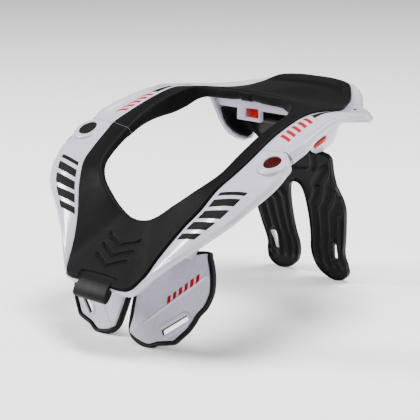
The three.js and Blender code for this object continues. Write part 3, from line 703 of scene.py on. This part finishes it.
def behind_seam():
    start = -math.degrees(math.acos(seam_line / boss_radius))
    curve = arc(lambda angle: boss_radius, start, 90)
    return [(-far, seam_line), *curve, (far, 0), (far, far), (-far, far)]


def before_seam(gap=swing_fit):
    radius = boss_radius + gap
    start = -math.degrees(math.acos((seam_line + gap) / radius))
    curve = arc(lambda angle: radius + max(0, angle) * seam_widen, start, 48)
    return [(-far, seam_line + gap), *curve, (far, curve[-1][1]), (far, -far), (-far, -far)]


def combine(thing, tools, operation="DIFFERENCE"):
    for tool in tools:
        modifier = thing.modifiers.new("cut", "BOOLEAN")
        modifier.operation = operation
        modifier.solver = "MANIFOLD"
        modifier.object = tool
        bake(thing)
        bpy.data.objects.remove(tool)
    return thing


def both(thing, make, operation="DIFFERENCE"):
    return combine(thing, [make(1), make(-1)], operation)


# %% [markdown]
# Front shell: the loft, cut at the seam, with a raised boss over each pivot. The boss has a
# rounded shoulder, and its underside is a pocket for the rear shell's tongue. Rear shell: the
# loft, cut before the seam, with a round tongue and its neck under each boss.
# %% Shells
boss_round = 1.6
ring_height = 0.5
past_seam = 0.9


def boss_profile(side):
    profile = [(boss_radius, -lap_depth)]
    for angle in (0, 0.4, 0.8, 1.2, math.pi / 2):
        profile.append((boss_radius - boss_round * (1 - math.cos(angle)),
                        boss_top - boss_round * (1 - math.sin(angle))))
    if side > 0:
        ring_steps = ((12.4, 0), (12, 0.8), (11.6, 1))
        profile += [(radius, boss_top + share * ring_height) for radius, share in ring_steps]
    return profile


def front_shell():
    shell = collar_piece("front_shell_skin", shell_outline, 0, seam_row + past_seam, shell_gloss)
    both(shell, lambda side: pivot_prism(behind_seam(), side))
    both(shell, lambda side: turned("tool", boss_profile(side), side, shell_gloss), "UNION")
    both(shell, lambda side: disc(boss_radius + fit, -far, -lap_depth, side))
    pocket = rectangle(-far, far, 0, far)
    both(shell, lambda side: pivot_prism(pocket, side, -far, -lap_depth))
    floor = boss_top + button_proud - button_height - button_travel - fit
    bores = [
        disc(pin_radius + fit, -far, far, -1),
        disc(cap_radius + fit, boss_top - cap_depth, far, -1),
        disc(button_radius + fit, floor, far, 1),
    ]
    combine(shell, bores)
    return shell


def rear_shell():
    end = seam_row - past_seam
    shell = collar_piece("rear_shell_skin", shell_outline, last_row, end, shell_gloss)
    both(shell, lambda side: pivot_prism(before_seam(), side))
    neck = rectangle(-neck_half_width, neck_half_width, 0, seam_line + neck_reach)
    low, high = -tongue_bottom, -lap_depth - fit
    both(shell, lambda side: disc(tongue_radius, low, high, side), "UNION")
    both(shell, lambda side: pivot_prism(neck, side, low, high), "UNION")
    combine(shell, [disc(pin_radius + fit, -far, far, -1)])
    return shell


def finish_piece(piece, body, slot, *nodes, degrees=38):
    piece.data.shade_smooth()
    piece.data.set_sharp_from_angle(angle=math.radians(degrees))
    if nodes:
        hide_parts(*nodes)
    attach(piece, body)
    print(piece.name, len(piece.data.polygons), "faces")
    return piece


finish_piece(front_shell(), "front_yoke", "shell", "front_shell")
finish_piece(rear_shell(), "rear_frame", "shell", "rear_shell")

# %% [markdown]
# The pads are one skin each, cut at the same seam as the shells. They are pressed foam, not cloth,
# so their shape comes from the outline alone and needs no simulation.
# %% Pads
pad_gap = 0.35


def pad(name, middle, end, cutter):
    piece = collar_piece(name, pad_outline, middle, end, foam_skin, per_row=14)
    return both(piece, lambda side: pivot_prism(cutter, side))


front_foam = pad("front_pad_skin", 0, seam_row + past_seam, behind_seam())
rear_foam = pad("rear_pad_skin", last_row, seam_row - past_seam, before_seam(pad_gap))
finish_piece(front_foam, "front_yoke", "foam", "front_pad", degrees=50)
finish_piece(rear_foam, "rear_frame", "foam", "rear_pad", degrees=50)

# %% [markdown]
# A rubber tab sits in a notch of the front pad and stands out below it. Its slices are rectangles
# with rounded corners; each row below gives where it is, its half width, its top and its bottom.
# %% Front tab
tab_slices = [
    (-4.5, 17.6, 1.5, -1.4), (-4, 18.3, 2.2, -1.6), (-2.5, 18.9, 2.6, -1.8), (1.6, 19.8, 2.8, -5.8),
    (6, 20.9, 2.4, -6.2), (10, 21.4, 1.2, -6.2), (12.6, 21.4, 0, -6.2), (13.8, 21.2, -1.2, -6),
    (14.6, 20.6, -2.2, -5.4),
]
tab_corner = 1.4


def rounded_rectangle(half, tall, radius, steps):
    points = []
    for right, high, start in ((1, 1, 0), (-1, 1, 90), (-1, -1, 180), (1, -1, 270)):
        for k in range(steps + 1):
            angle = math.radians(start + 90 * k / steps)
            points.append((right * (half - radius) + radius * math.cos(angle),
                           high * (tall - radius) + radius * math.sin(angle)))
    return points


def tab_slice(reach, half, top, bottom):
    section = Section(0, 1)
    along = unit(section.edge - section.crest)
    middle, tall = (top + bottom) / 2, (top - bottom) / 2
    centre = section.edge + along * reach + section.up * middle
    corners = rounded_rectangle(half, tall, min(tab_corner, 0.8 * tall), 4)
    return [centre + section.up * height + np.array([x, 0, 0]) for x, height in corners]


front_tab = loft("front_tab_skin", [tab_slice(*row) for row in tab_slices], rubber)
finish_piece(front_tab, "front_yoke", "rubber", "front_tab", degrees=45)

# %% [markdown]
# The release button is a dark red disc with a shallow dish, inside a pale ring that is part of
# the boss. The hinge's cap is a flat black head with a chamfer and a shallow recess.
# %% Button and cap


button_dish = 0.8
button_rim = 1.8
cap_proud = 0.3
cap_recess = 0.6
pin_past = 0.2
centre_hole = 0.4


def round_button():
    top = boss_top + button_proud
    profile = [(button_radius, top - button_height), (button_radius, top - 0.7)]
    profile += [(button_radius - 0.3, top - 0.2), (button_radius - 0.9, top)]
    for k in range(7):
        radius = lerp(button_radius - button_rim, centre_hole, k / 6)
        profile.append((radius, top - 0.1 - button_dish * math.sin(math.pi / 2 * k / 6)))
    return turned("release_button_skin", profile, 1, button_red)


def pin_cap():
    top = boss_top + cap_proud
    low = boss_top - cap_depth + fit
    profile = [(pin_radius, -tongue_bottom - pin_past), (pin_radius, low), (cap_radius, low)]
    profile += [(cap_radius, top - 0.5), (cap_radius - 0.5, top), (cap_radius - 1.6, top)]
    profile += [(cap_radius - 1.9, top - 0.5), (centre_hole, top - cap_recess)]
    return turned("pivot_cap_skin", profile, -1, cap_plastic)


finish_piece(round_button(), "button", "button", "release_button", degrees=30)
finish_piece(pin_cap(), "front_yoke", "cap", "pivot_cap", degrees=30)

# %% [markdown]
# A chest plate is a thin moulding in a rubber tray. Its outline is a smooth closed curve through
# a few points, and the face is a fan of rings that shrink towards the middle, so every spot can
# be raised or lowered: a roof-like crease with a narrow bead runs from the tip up to the outer
# corner. In the outline each row has x, y and how much of the trim shows there.
# %% Sizes of the chest plates
plate_reach = 93
plate_height = 100
plate_setback = -79.5
plate_turn = math.radians(3)
plate_lean = math.radians(21.8)
plate_thick = 3.2
backing_thick = 6.5
trim_width = 4
trim_recess = 0.6
chest_slot = {"length": 33, "width": 6.5, "turn": math.radians(39), "out": 59.5, "up": 27}
chest_outline = [
    [0.04, 0.62, 0.2], [0.042, 0.38, 0.2], [0.053, 0.25, 0.2], [0.074, 0.13, 0.4],
    [0.147, 0.048, 1], [0.263, 0.01, 1], [0.358, 0, 1], [0.43, 0.022, 1], [0.484, 0.048, 1],
    [0.6, 0.075, 1], [0.684, 0.102, 1], [0.758, 0.178, 1], [0.82, 0.248, 1], [0.868, 0.334, 1],
    [0.895, 0.4, 1], [0.958, 0.485, 1], [0.99, 0.57, 1], [1, 0.67, 1], [0.958, 0.82, 1],
    [0.885, 0.95, 1], [0.82, 1, 0.3], [0.5, 0.93, 0.2], [0.2, 0.78, 0.2],
]


def closed_curve(points, per_point=9):
    points = np.array(points, float)
    count = len(points)
    curve = []
    for k in range(count):
        before, first, second, after = (points[(k + step) % count] for step in (-1, 0, 1, 2))
        for j in range(per_point):
            t = j / per_point
            curve.append(hermite(first, second, (second - before) / 2, (after - first) / 2, t))
    return np.array(curve)


def chest_curve(inset):
    smooth_outline = closed_curve(chest_outline)
    points = smooth_outline[:, :2] * [plate_reach, plate_height]
    ahead = np.roll(points, -1, 0) - points
    behind = points - np.roll(points, 1, 0)
    ahead /= np.linalg.norm(ahead, axis=1)[:, None]
    behind /= np.linalg.norm(behind, axis=1)[:, None]
    along = ahead + behind
    along /= np.linalg.norm(along, axis=1)[:, None]
    shift = inset(smooth_outline[:, 2])
    return points + np.stack([-along[:, 1], along[:, 0]], 1) * shift[:, None]


def plate_matrix(side):
    lean = Matrix.Rotation(math.pi / 2 - plate_lean, 4, "X")
    turn = Matrix.Rotation(plate_turn, 4, "Z")
    place = Matrix.Translation((0, plate_setback, 0))
    return place @ Matrix.Diagonal((side, 1, 1, 1)) @ turn @ lean


crease_start = np.array([9.0, 6.0])
crease_end = np.array([84.0, 78.0])
bead_height = 0.7
inner_fall = 2
slot_rim_height = 1
lowest_face = -1.9
collar_block = rectangle(44, 66, 89, 100)


def plate_face_height(x, y):
    direction = unit(crease_end - crease_start)
    aside = (x - crease_start[0]) * direction[1] - (y - crease_start[1]) * direction[0]
    height = 1.2 - 0.15 * max(0, aside) - 0.09 * max(0, -aside)
    height += bead_height * falloff(0.3, 1.3, abs(aside))
    height -= inner_fall * falloff(9.2, 10.6, x)
    turn = chest_slot["turn"]
    local_x, local_y = x - chest_slot["out"], y - chest_slot["up"]
    along = local_x * math.cos(turn) + local_y * math.sin(turn)
    across = -local_x * math.sin(turn) + local_y * math.cos(turn)
    half = (chest_slot["length"] - chest_slot["width"]) / 2
    from_slot = math.hypot(across, max(0, abs(along) - half))
    slot_rim = falloff(1.2, 2.4, abs(from_slot - 4.6))
    return max(lowest_face, height) + slot_rim_height * slot_rim


def fan_plate(name, curve, layers, matrix, material):
    centre = curve.mean(0)
    rings = [[matrix @ Vector((x, y, depth_at(x, y))) for x, y in centre + (curve - centre) * share]
             for share, depth_at in layers]
    return loft(name, rings, material)


def slot_prism(sizes, matrix, depth):
    half, tall = sizes["length"] / 2, sizes["width"] / 2
    turn = Matrix.Rotation(sizes["turn"], 4, "Z")
    place = matrix @ Matrix.Translation((sizes["out"], sizes["up"], 0)) @ turn
    return prism(rounded_rectangle(half, tall, 0.45 * tall, 5), place, -depth, depth)


# %% [markdown]
# The plate's face falls from the crease, its edge is rounded over the last millimetre, and a low
# rim stands round the slot. A block joins it to the collar above. The rubber tray behind it is the
# same outline, wider by the trim that shows.
# %% Chest plates


def flat(height):
    return lambda x, y: height


def chest_plate(side, side_name):
    matrix = plate_matrix(side)
    curve = chest_curve(lambda trim: trim * trim_width)

    def front(extra):
        return lambda x, y: plate_face_height(x, y) + extra

    shares = [0.02] + [k / 60 for k in range(2, 59)]
    layers = [(share, front(0)) for share in shares]
    layers += [(0.975, front(-0.08)), (0.99, front(-0.3)), (1, front(-0.75))]
    layers += [(1, flat(-plate_thick)), (0.5, flat(-plate_thick))]
    plate = fan_plate(f"chest_plate_{side_name}_skin", curve, layers, matrix, shell_gloss)
    node = frame["nodes"][f"chest_plate_{side_name}"]
    back = matrix.inverted()
    shift = Vector((0, origin_setback, 0))
    deep = max((back @ (vertex.co * 1000 + shift)).z for vertex in node.data.vertices)
    combine(plate, [prism(collar_block, matrix, -2, deep)], "UNION")
    combine(plate, [slot_prism(chest_slot, matrix, 30)])
    return plate


def chest_tray(side, side_name):
    matrix = plate_matrix(side)
    curve = chest_curve(lambda trim: 0 * trim)
    front, back = -trim_recess, -backing_thick
    heights = [
        (0.05, -plate_thick - fit), (0.9, -plate_thick - fit), (0.925, front - 0.4), (0.95, front),
        (0.975, front), (0.993, front - 0.5), (1, front - 1.6), (1, back + 1.2),
        (0.99, back + 0.3), (0.97, back), (0.05, back),
    ]
    layers = [(share, flat(height)) for share, height in heights]
    tray = fan_plate(f"chest_pad_{side_name}_skin", curve, layers, matrix, rubber)
    floor = prism(rectangle(-200, 200, -200, 300), Matrix.Identity(4), -50, 0)
    combine(tray, [slot_prism(chest_slot, matrix, 30), floor])
    return tray


side_names = {1: "left", -1: "right"}
for side, side_name in side_names.items():
    plate, tray = chest_plate(side, side_name), chest_tray(side, side_name)
    finish_piece(plate, "front_yoke", "shell", f"chest_plate_{side_name}", degrees=30)
    finish_piece(tray, "front_yoke", "rubber", f"chest_pad_{side_name}", degrees=40)

# %% [markdown]
# The back strut is one moulded sheet with two legs. Each row of it runs from the gap to the outer
# edge, so ribs drawn as waves across a row follow the outline by themselves, as they do on the
# real moulding. Above the gap both halves meet in the middle, and past the bend the sheet narrows
# into the plate between the wings.
# %% Sizes of the strut
strut_thick = 7
strut_top_height = 184
strut_bend_height = 143
strut_bend_back = 174
top_plate_lean = math.radians(31)
leg_lean = math.radians(13.8)
leg_half_width = 61
leg_length = 147
foot_clearance = 0.42
strut_fall = (strut_bend_height - foot_clearance) / math.cos(leg_lean)
strut_slot = {"length": 21, "width": 6, "out": 40.5, "up": 34}
strut_slot_turn = 8
trunnion_radius = 4
trunnion_height = 177
trunnion_back = 153
wing_height = 186
wing_half_width = 73
wing_turn = math.radians(34)
wing_thick = 4
wing_pad_thick = 3.5
strut_wing_gap = 2.2
gap_top = 0.75
foot_top = 0.11
foot_half_width = 0.345
narrow_half, wide_half = 43, 60
# Columns: up, half of the gap and outer edge, as shares of leg length and leg half width.
leg_rows = [
    [0.0, 0.6, 0.63], [0.11, 0.195, 0.885], [0.15, 0.16, 0.875], [0.19, 0.145, 0.85],
    [0.24, 0.145, 0.855], [0.3, 0.17, 0.885], [0.4, 0.195, 0.935], [0.5, 0.2, 0.975],
    [0.595, 0.19, 1.0], [0.67, 0.165, 0.965], [0.71, 0.135, 0.925], [0.735, 0.09, 0.9],
    [0.748, 0.035, 0.885],
    [0.75, 0.0, 0.882], [0.8, 0.0, 0.855], [0.86, 0.0, 0.84], [0.93, 0.0, 0.845], [0.98, 0.0, 0.83],
    [1.0, 0.0, 0.78],
]


def top_plate_half(height):
    inside = (wing_thick + wing_pad_thick + strut_wing_gap) / math.cos(wing_turn)
    return wing_half_width - (wing_height - height) * math.tan(wing_turn) - inside


def smooth_column(ups, column):
    table = np.array(leg_rows)
    known, values = table[:, 0], table[:, column]
    slopes = np.gradient(values, known)
    k = np.clip(np.searchsorted(known, ups, side="right") - 1, 0, len(known) - 2)
    span = known[k + 1] - known[k]
    t = (ups - known[k]) / span
    return hermite(values[k], values[k + 1], slopes[k] * span, slopes[k + 1] * span, t)


def strut_rows():
    foot = foot_top * (1 - np.cos(np.linspace(0.05, math.pi / 2, 24)))
    leg = [np.linspace(*part) for part in ((foot_top, 0.7, 60), (0.7, 0.76, 26), (0.76, 1, 26))]
    ups = np.unique(np.concatenate([foot, *leg]))
    turn = np.minimum(ups / foot_top, 1)
    foot_half = foot_half_width * np.sqrt(1 - (1 - turn) ** 2)
    foot_middle = 0.615 - 0.075 * turn
    in_foot = ups < foot_top
    inner = np.where(in_foot, foot_middle - foot_half, smooth_column(ups, 1))
    inner = np.where(ups < gap_top, np.maximum(0, inner), 0) * leg_half_width
    outer = np.where(in_foot, foot_middle + foot_half, smooth_column(ups, 2)) * leg_half_width
    rows_made = [(up * leg_length, inner[k], outer[k], 0.0) for k, up in enumerate(ups)]
    rise = (strut_top_height - strut_bend_height) / math.cos(top_plate_lean)
    for share in np.linspace(0.06, 1, 26):
        height = strut_bend_height + share * (strut_top_height - strut_bend_height)
        half = min(top_plate_half(height), lerp(narrow_half, wide_half, share))
        rows_made.append((leg_length, 0.0, half, share * rise))
    return rows_made


def strut_place(x, along_leg, along_top, depth):
    fall = strut_fall - along_leg
    y = strut_bend_back + math.sin(leg_lean) * fall
    z = strut_bend_height - math.cos(leg_lean) * fall
    lean = leg_lean
    if along_top > 0:
        y = strut_bend_back - math.sin(top_plate_lean) * along_top
        z = strut_bend_height + math.cos(top_plate_lean) * along_top
        lean = top_plate_lean
    return np.array([x, y + math.cos(lean) * depth, z + math.sin(lean) * depth])


# %% [markdown]
# The ribs are three millimetres high. They fade out at the foot and near the strap slot,
# where a flat raised border takes their place, and above the gap a shallow trough in the shape of
# a U gathers them, as on the real strut.
# %% Ribs of the strut
rib_count = 4
rib_height = 3
rib_turn = 1.8
turn_starts = 0.62
trough_size = 19
trough_middle = 34
edge_bevel = 0.7


def rib_wave(phase):
    from_ridge = abs(phase - math.floor(phase) - 0.5)
    return falloff(0.14, 0.34, from_ridge)


def strut_relief(across, x, inner, outer, along_leg, along_top):
    up = along_leg / leg_length
    height = along_leg + along_top - gap_top * leg_length
    from_gap = x - inner if inner > 0 else math.hypot(x, height)
    rim = falloff(1.4, 3.2, min(from_gap, outer - x))
    fade = smooth_step(0.07, 0.15, up) * falloff(0.88, 0.95, up)
    straight = (strut_slot["length"] - strut_slot["width"]) / 2
    past_middle = abs(along_leg - strut_slot["up"])
    from_slot = math.hypot(x - strut_slot["out"], max(0, past_middle - straight))
    near_slot = smooth_step(5.2, 8.5, from_slot)
    border = falloff(1.2, 2.6, abs(from_slot - 5.4))
    before_turn = across - rib_turn * max(0, up - turn_starts + 0.12 * across)
    ribs = rib_wave(before_turn * rib_count) * fade * near_slot * smooth_step(0, 0.03, before_turn)
    from_centre = (abs(x / 1.45) ** 4 + abs(height - trough_middle) ** 4) ** 0.25
    trough = falloff(1.2, 2.6, abs(from_centre - trough_size))
    trough *= falloff(38, 42, height)
    return rib_height * max(ribs, 0.9 * rim, 0.8 * border, 0.9 * trough)


def back_strut():
    columns = 56
    rows_made = strut_rows()
    points = []
    index = {}
    for r, (along_leg, inner, outer, along_top) in enumerate(rows_made):
        for side in (1, -1):
            for c in range(columns + 1):
                across = c / columns
                x = lerp(inner, outer, across)
                from_edge = min(x - inner if inner > 0 else far, outer - x)
                bevel = edge_bevel * falloff(0, 1.2, from_edge)
                relief = strut_relief(across, x, inner, outer, along_leg, along_top)
                for layer, depth in ((0, rib_height + bevel - relief), (1, strut_thick - bevel)):
                    index[r, side, c, layer] = len(points)
                    depth -= 0.5 * rib_height
                    points.append(strut_place(side * x, along_leg, along_top, depth))
    faces = []
    for r in range(len(rows_made) - 1):
        closed_middle = rows_made[r][1] == 0 and rows_made[r + 1][1] == 0
        for side in (1, -1):
            for c in range(columns):
                for layer in (0, 1):
                    faces.append(tuple(index[key] for key in (
                        (r, side, c, layer), (r, side, c + 1, layer),
                        (r + 1, side, c + 1, layer), (r + 1, side, c, layer))))
            for c in ([columns] if closed_middle else [0, columns]):
                faces.append(tuple(index[key] for key in (
                    (r, side, c, 0), (r, side, c, 1), (r + 1, side, c, 1), (r + 1, side, c, 0))))
    for r in (0, len(rows_made) - 1):
        for side in (1, -1):
            for c in range(columns):
                faces.append(tuple(index[key] for key in (
                    (r, side, c, 0), (r, side, c + 1, 0), (r, side, c + 1, 1), (r, side, c, 1))))
    strut = mesh_object("back_strut_skin", points, faces, strut_plastic)
    matrix = Matrix.Translation((0, strut_bend_back, strut_bend_height)) @ Matrix.Rotation(
        math.pi / 2 + leg_lean, 4, "X")
    matrix = matrix @ Matrix.Translation((0, -strut_fall, 0))
    for side in (1, -1):
        turn = math.radians(90 - side * strut_slot_turn)
        sizes = dict(strut_slot, out=side * strut_slot["out"], turn=turn)
        combine(strut, [slot_prism(sizes, matrix, 25)])
    return strut


def trunnion():
    half = top_plate_half(trunnion_height - trunnion_radius) + strut_wing_gap - fit
    solid = bmesh.new()
    radius = trunnion_radius / 1000
    spot = (0, (trunnion_back - origin_setback) / 1000, trunnion_height / 1000)
    matrix = Matrix.Translation(spot) @ Matrix.Rotation(math.pi / 2, 4, "Y")
    bmesh.ops.create_cone(solid, cap_ends=True, segments=40, radius1=radius, radius2=radius,
                          depth=2 * half / 1000, matrix=matrix)
    rims = [edge for edge in solid.edges if any(len(face.verts) > 4 for face in edge.link_faces)]
    bmesh.ops.bevel(solid, geom=rims, offset=0.0006, segments=3, affect="EDGES")
    mesh = bpy.data.meshes.new("strut_trunnion")
    solid.to_mesh(mesh)
    solid.free()
    mesh.materials.append(strut_plastic)
    return add_object("strut_trunnion", mesh)


finish_piece(back_strut(), "strut", "strut", "back_strut", degrees=50)
finish_piece(trunnion(), "strut", "strut", degrees=40)

# %% [markdown]
# The bracket, the wings' pads and the clips have the right shape already. A merged copy of each
# gets a rounded edge from a Bevel modifier, because no moulded edge is sharp.
# %% Rounded copies


def rounded_copy(node, radius, material, body, slot):
    copy = frame["nodes"][node].copy()
    copy.data = copy.data.copy()
    copy.name = f"{node}_skin"
    for key in list(copy.keys()):
        del copy[key]
    copy.parent = None
    bpy.context.scene.collection.objects.link(copy)
    solid = bmesh.new()
    solid.from_mesh(copy.data)
    bmesh.ops.remove_doubles(solid, verts=solid.verts, dist=1e-5)
    bmesh.ops.dissolve_limit(solid, angle_limit=math.radians(2), verts=solid.verts,
                             edges=solid.edges)
    solid.to_mesh(copy.data)
    solid.free()
    copy.data.materials.clear()
    copy.data.materials.append(material)
    modifier = copy.modifiers.new("edge", "BEVEL")
    modifier.width = radius / 1000
    modifier.segments = 3
    modifier.limit_method = "ANGLE"
    modifier.angle_limit = math.radians(35)
    bake(copy)
    return finish_piece(copy, body, slot, node, degrees=40)


rounded_copy("rear_bracket", 0.7, shell_gloss, "rear_frame", "shell")
for side_name in side_names.values():
    rounded_copy(f"wing_pad_{side_name}", 0.9, rubber, "rear_frame", "rubber")
for place, body in (("front", "front"), ("side_left", "left"), ("side_right", "right")):
    rounded_copy(f"strut_clip_{place}", 0.7, clip_red, f"{body}_clip", "clip")

# %% [markdown]
# Each red clip has a row of small grip ridges. They repeat, so Geometry Nodes make them: points
# on a line, a ridge on each point, and the whole turned into plain mesh at the end.
# %% Grip ridges
ridge_count = 4
ridge_gap = 1.6
ridge_radius = 0.4


ridge_inputs = {"Count": "Int", "Gap": "Float", "Length": "Float", "Ink": "Material"}
ridge_nodes = {
    "input": "NodeGroupInput", "output": "NodeGroupOutput", "line": "GeometryNodeMeshLine",
    "offset": "ShaderNodeCombineXYZ", "ridge": "GeometryNodeMeshCylinder",
    "turn": "GeometryNodeTransform", "spread": "GeometryNodeInstanceOnPoints",
    "real": "GeometryNodeRealizeInstances", "ink": "GeometryNodeSetMaterial",
}
ridge_links = [
    ("input", "Count", "line", "Count"), ("input", "Gap", "offset", "X"),
    ("offset", "Vector", "line", "Offset"), ("input", "Length", "ridge", "Depth"),
    ("ridge", "Mesh", "turn", "Geometry"), ("line", "Mesh", "spread", "Points"),
    ("turn", "Geometry", "spread", "Instance"), ("spread", "Instances", "real", "Geometry"),
    ("real", "Geometry", "ink", "Geometry"), ("input", "Ink", "ink", "Material"),
    ("ink", "Geometry", "output", "Geometry"),
]


def ridge_tree():
    tree = bpy.data.node_groups.new("grip_ridges", "GeometryNodeTree")
    tree.interface.new_socket("Geometry", in_out="OUTPUT", socket_type="NodeSocketGeometry")
    for name, kind in ridge_inputs.items():
        tree.interface.new_socket(name, in_out="INPUT", socket_type=f"NodeSocket{kind}")
    nodes = {name: tree.nodes.new(kind) for name, kind in ridge_nodes.items()}
    nodes["ridge"].inputs["Vertices"].default_value = 10
    nodes["ridge"].inputs["Radius"].default_value = ridge_radius / 1000
    nodes["turn"].inputs["Rotation"].default_value = (math.pi / 2, 0, 0)
    for source, result, target, entry in ridge_links:
        tree.links.new(nodes[source].outputs[result], nodes[target].inputs[entry])
    return tree


grip_tree = ridge_tree()


def grip_ridges(name, matrix, length, body):
    thing = add_object(name, bpy.data.meshes.new(name))
    modifier = thing.modifiers.new("ridges", "NODES")
    modifier.node_group = grip_tree
    values = {"Count": ridge_count, "Gap": ridge_gap / 1000, "Length": length / 1000,
              "Ink": clip_red}
    for item in grip_tree.interface.items_tree:
        if item.in_out == "INPUT":
            modifier[item.identifier] = values[item.name]
    bake(thing)
    thing.data.transform(Matrix.Translation((-ridge_gap * (ridge_count - 1) / 2000, 0, 0)))
    thing.data.transform(matrix)
    return finish_piece(thing, body, "clip", degrees=60)


def clip_matrix(node, along, outward):
    low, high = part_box(node)
    centre = (low + high) / 2
    along, outward = Vector(along).normalized(), Vector(outward).normalized()
    across = outward.cross(along)
    vertices = frame["nodes"][node].data.vertices
    half = max(abs((vertex.co - centre).dot(outward)) for vertex in vertices)
    matrix = Matrix((along, across, outward)).transposed().to_4x4()
    return Matrix.Translation(centre + outward * half) @ matrix


side_slide = {joint["child"]: joint["axis"] for joint in frame["joints"]}
front_place = clip_matrix("strut_clip_front", (1, 0, 0), (0, -1, 0))
grip_ridges("clip_front_ridges", front_place, 5.5, "front_clip")
for side, side_name in side_names.items():
    outward = (side * math.cos(wing_turn), 0, -math.sin(wing_turn))
    matrix = clip_matrix(f"strut_clip_side_{side_name}", side_slide[f"{side_name}_clip"], outward)
    grip_ridges(f"clip_{side_name}_ridges", matrix, 3.4, f"{side_name}_clip")

# %% [markdown]
# The prints are plain marks: slanted bars on the front arms, short red dashes on the rear arms and
# the left chest plate, a dark flash on each rear arm and a dark slit in each flared corner. Each
# is a thin patch that takes its points from the shell's own surface, so it follows every curve.
# %% Prints
ink_lift = 0.12
ink_sink = -0.1


def print_patch(name, spot, quad, material, body, steps=12):
    first, second, third, fourth = (np.array(corner) for corner in quad)
    points = []
    for lift in (ink_lift, ink_sink):
        for i in range(steps + 1):
            for j in range(steps + 1):
                s, t = i / steps, j / steps
                across, along = lerp(lerp(first, second, s), lerp(fourth, third, s), t)
                points.append(spot(across, along, lift))
    row = steps + 1
    layer = row * row
    faces = []
    for i in range(steps):
        for j in range(steps):
            a = i * row + j
            face = (a, a + 1, a + row + 1, a + row)
            faces += [face, tuple(layer + face[k] for k in (0, 3, 2, 1))]
    border = list(range(row)) + [i * row + steps for i in range(1, row)]
    border += [steps * row + j for j in range(steps - 1, -1, -1)]
    border += [i * row for i in range(steps - 1, 0, -1)]
    for k, a in enumerate(border):
        b = border[(k + 1) % len(border)]
        faces.append((a, b, layer + b, layer + a))
    return finish_piece(mesh_object(name, points, faces, material), body, "shell", degrees=60)


def on_shell(side):
    return lambda place, share, lift: shell_point(Section(place, side), share, lift)


def on_plate(side):
    matrix = plate_matrix(side)
    return lambda x, y, lift: matrix @ Vector((x, y, plate_face_height(x, y) + lift))


# %% [markdown]
# On the shell a corner is a place along the rows and a share of the way from pad to rim. On the
# chest plate it is millimetres across and up.
# %% Bars, dashes, flash and slit
front_bars = [(6.1, 6.5), (6.75, 7.3), (7.55, 8.05), (8.25, 8.6), (8.78, 8.95)]
bar_low, bar_high, bar_slant = 0.12, 0.7, 0.35
rear_dash = [(0, 0.46), (0.2, 0.46), (0.36, 0.14), (0.16, 0.14)]
rear_flash = [(3.4, 0.16), (5.4, 0.2), (5.3, 0.27), (3.2, 0.36)]
corner_slit = [(7.0, 0.34), (7.5, 0.36), (7.5, 0.46), (7.0, 0.44)]
chest_dash = [(0, 0), (3.2, 3), (0.9, 10.6), (-2.3, 7.6)]


def moved(quad, along, up=0):
    return [(x + along, y + up) for x, y in quad]


for side, side_name in side_names.items():
    spot = on_shell(side)
    for number, (start, end) in enumerate(front_bars):
        quad = [(start, bar_low), (end, bar_low)]
        quad += [(end + bar_slant, bar_high), (start + bar_slant, bar_high)]
        print_patch(f"front_bar_{side_name}_{number}", spot, quad, ink_black, "front_yoke")
    for number in range(5):
        quad = moved(rear_dash, seam_row + 1.05 + 0.4 * number)
        print_patch(f"rear_dash_{side_name}_{number}", spot, quad, ink_red, "rear_frame", steps=4)
    flash, slit = moved(rear_flash, seam_row), moved(corner_slit, seam_row)
    print_patch(f"rear_flash_{side_name}", spot, flash, ink_black, "rear_frame")
    print_patch(f"corner_slit_{side_name}", spot, slit, ink_black, "rear_frame", steps=4)

for number in range(6):
    quad = moved(chest_dash, 47.5 + 5.4 * number, 43 + 5 * number)
    print_patch(f"chest_dash_{number}", on_plate(1), quad, ink_red, "front_yoke", steps=6)
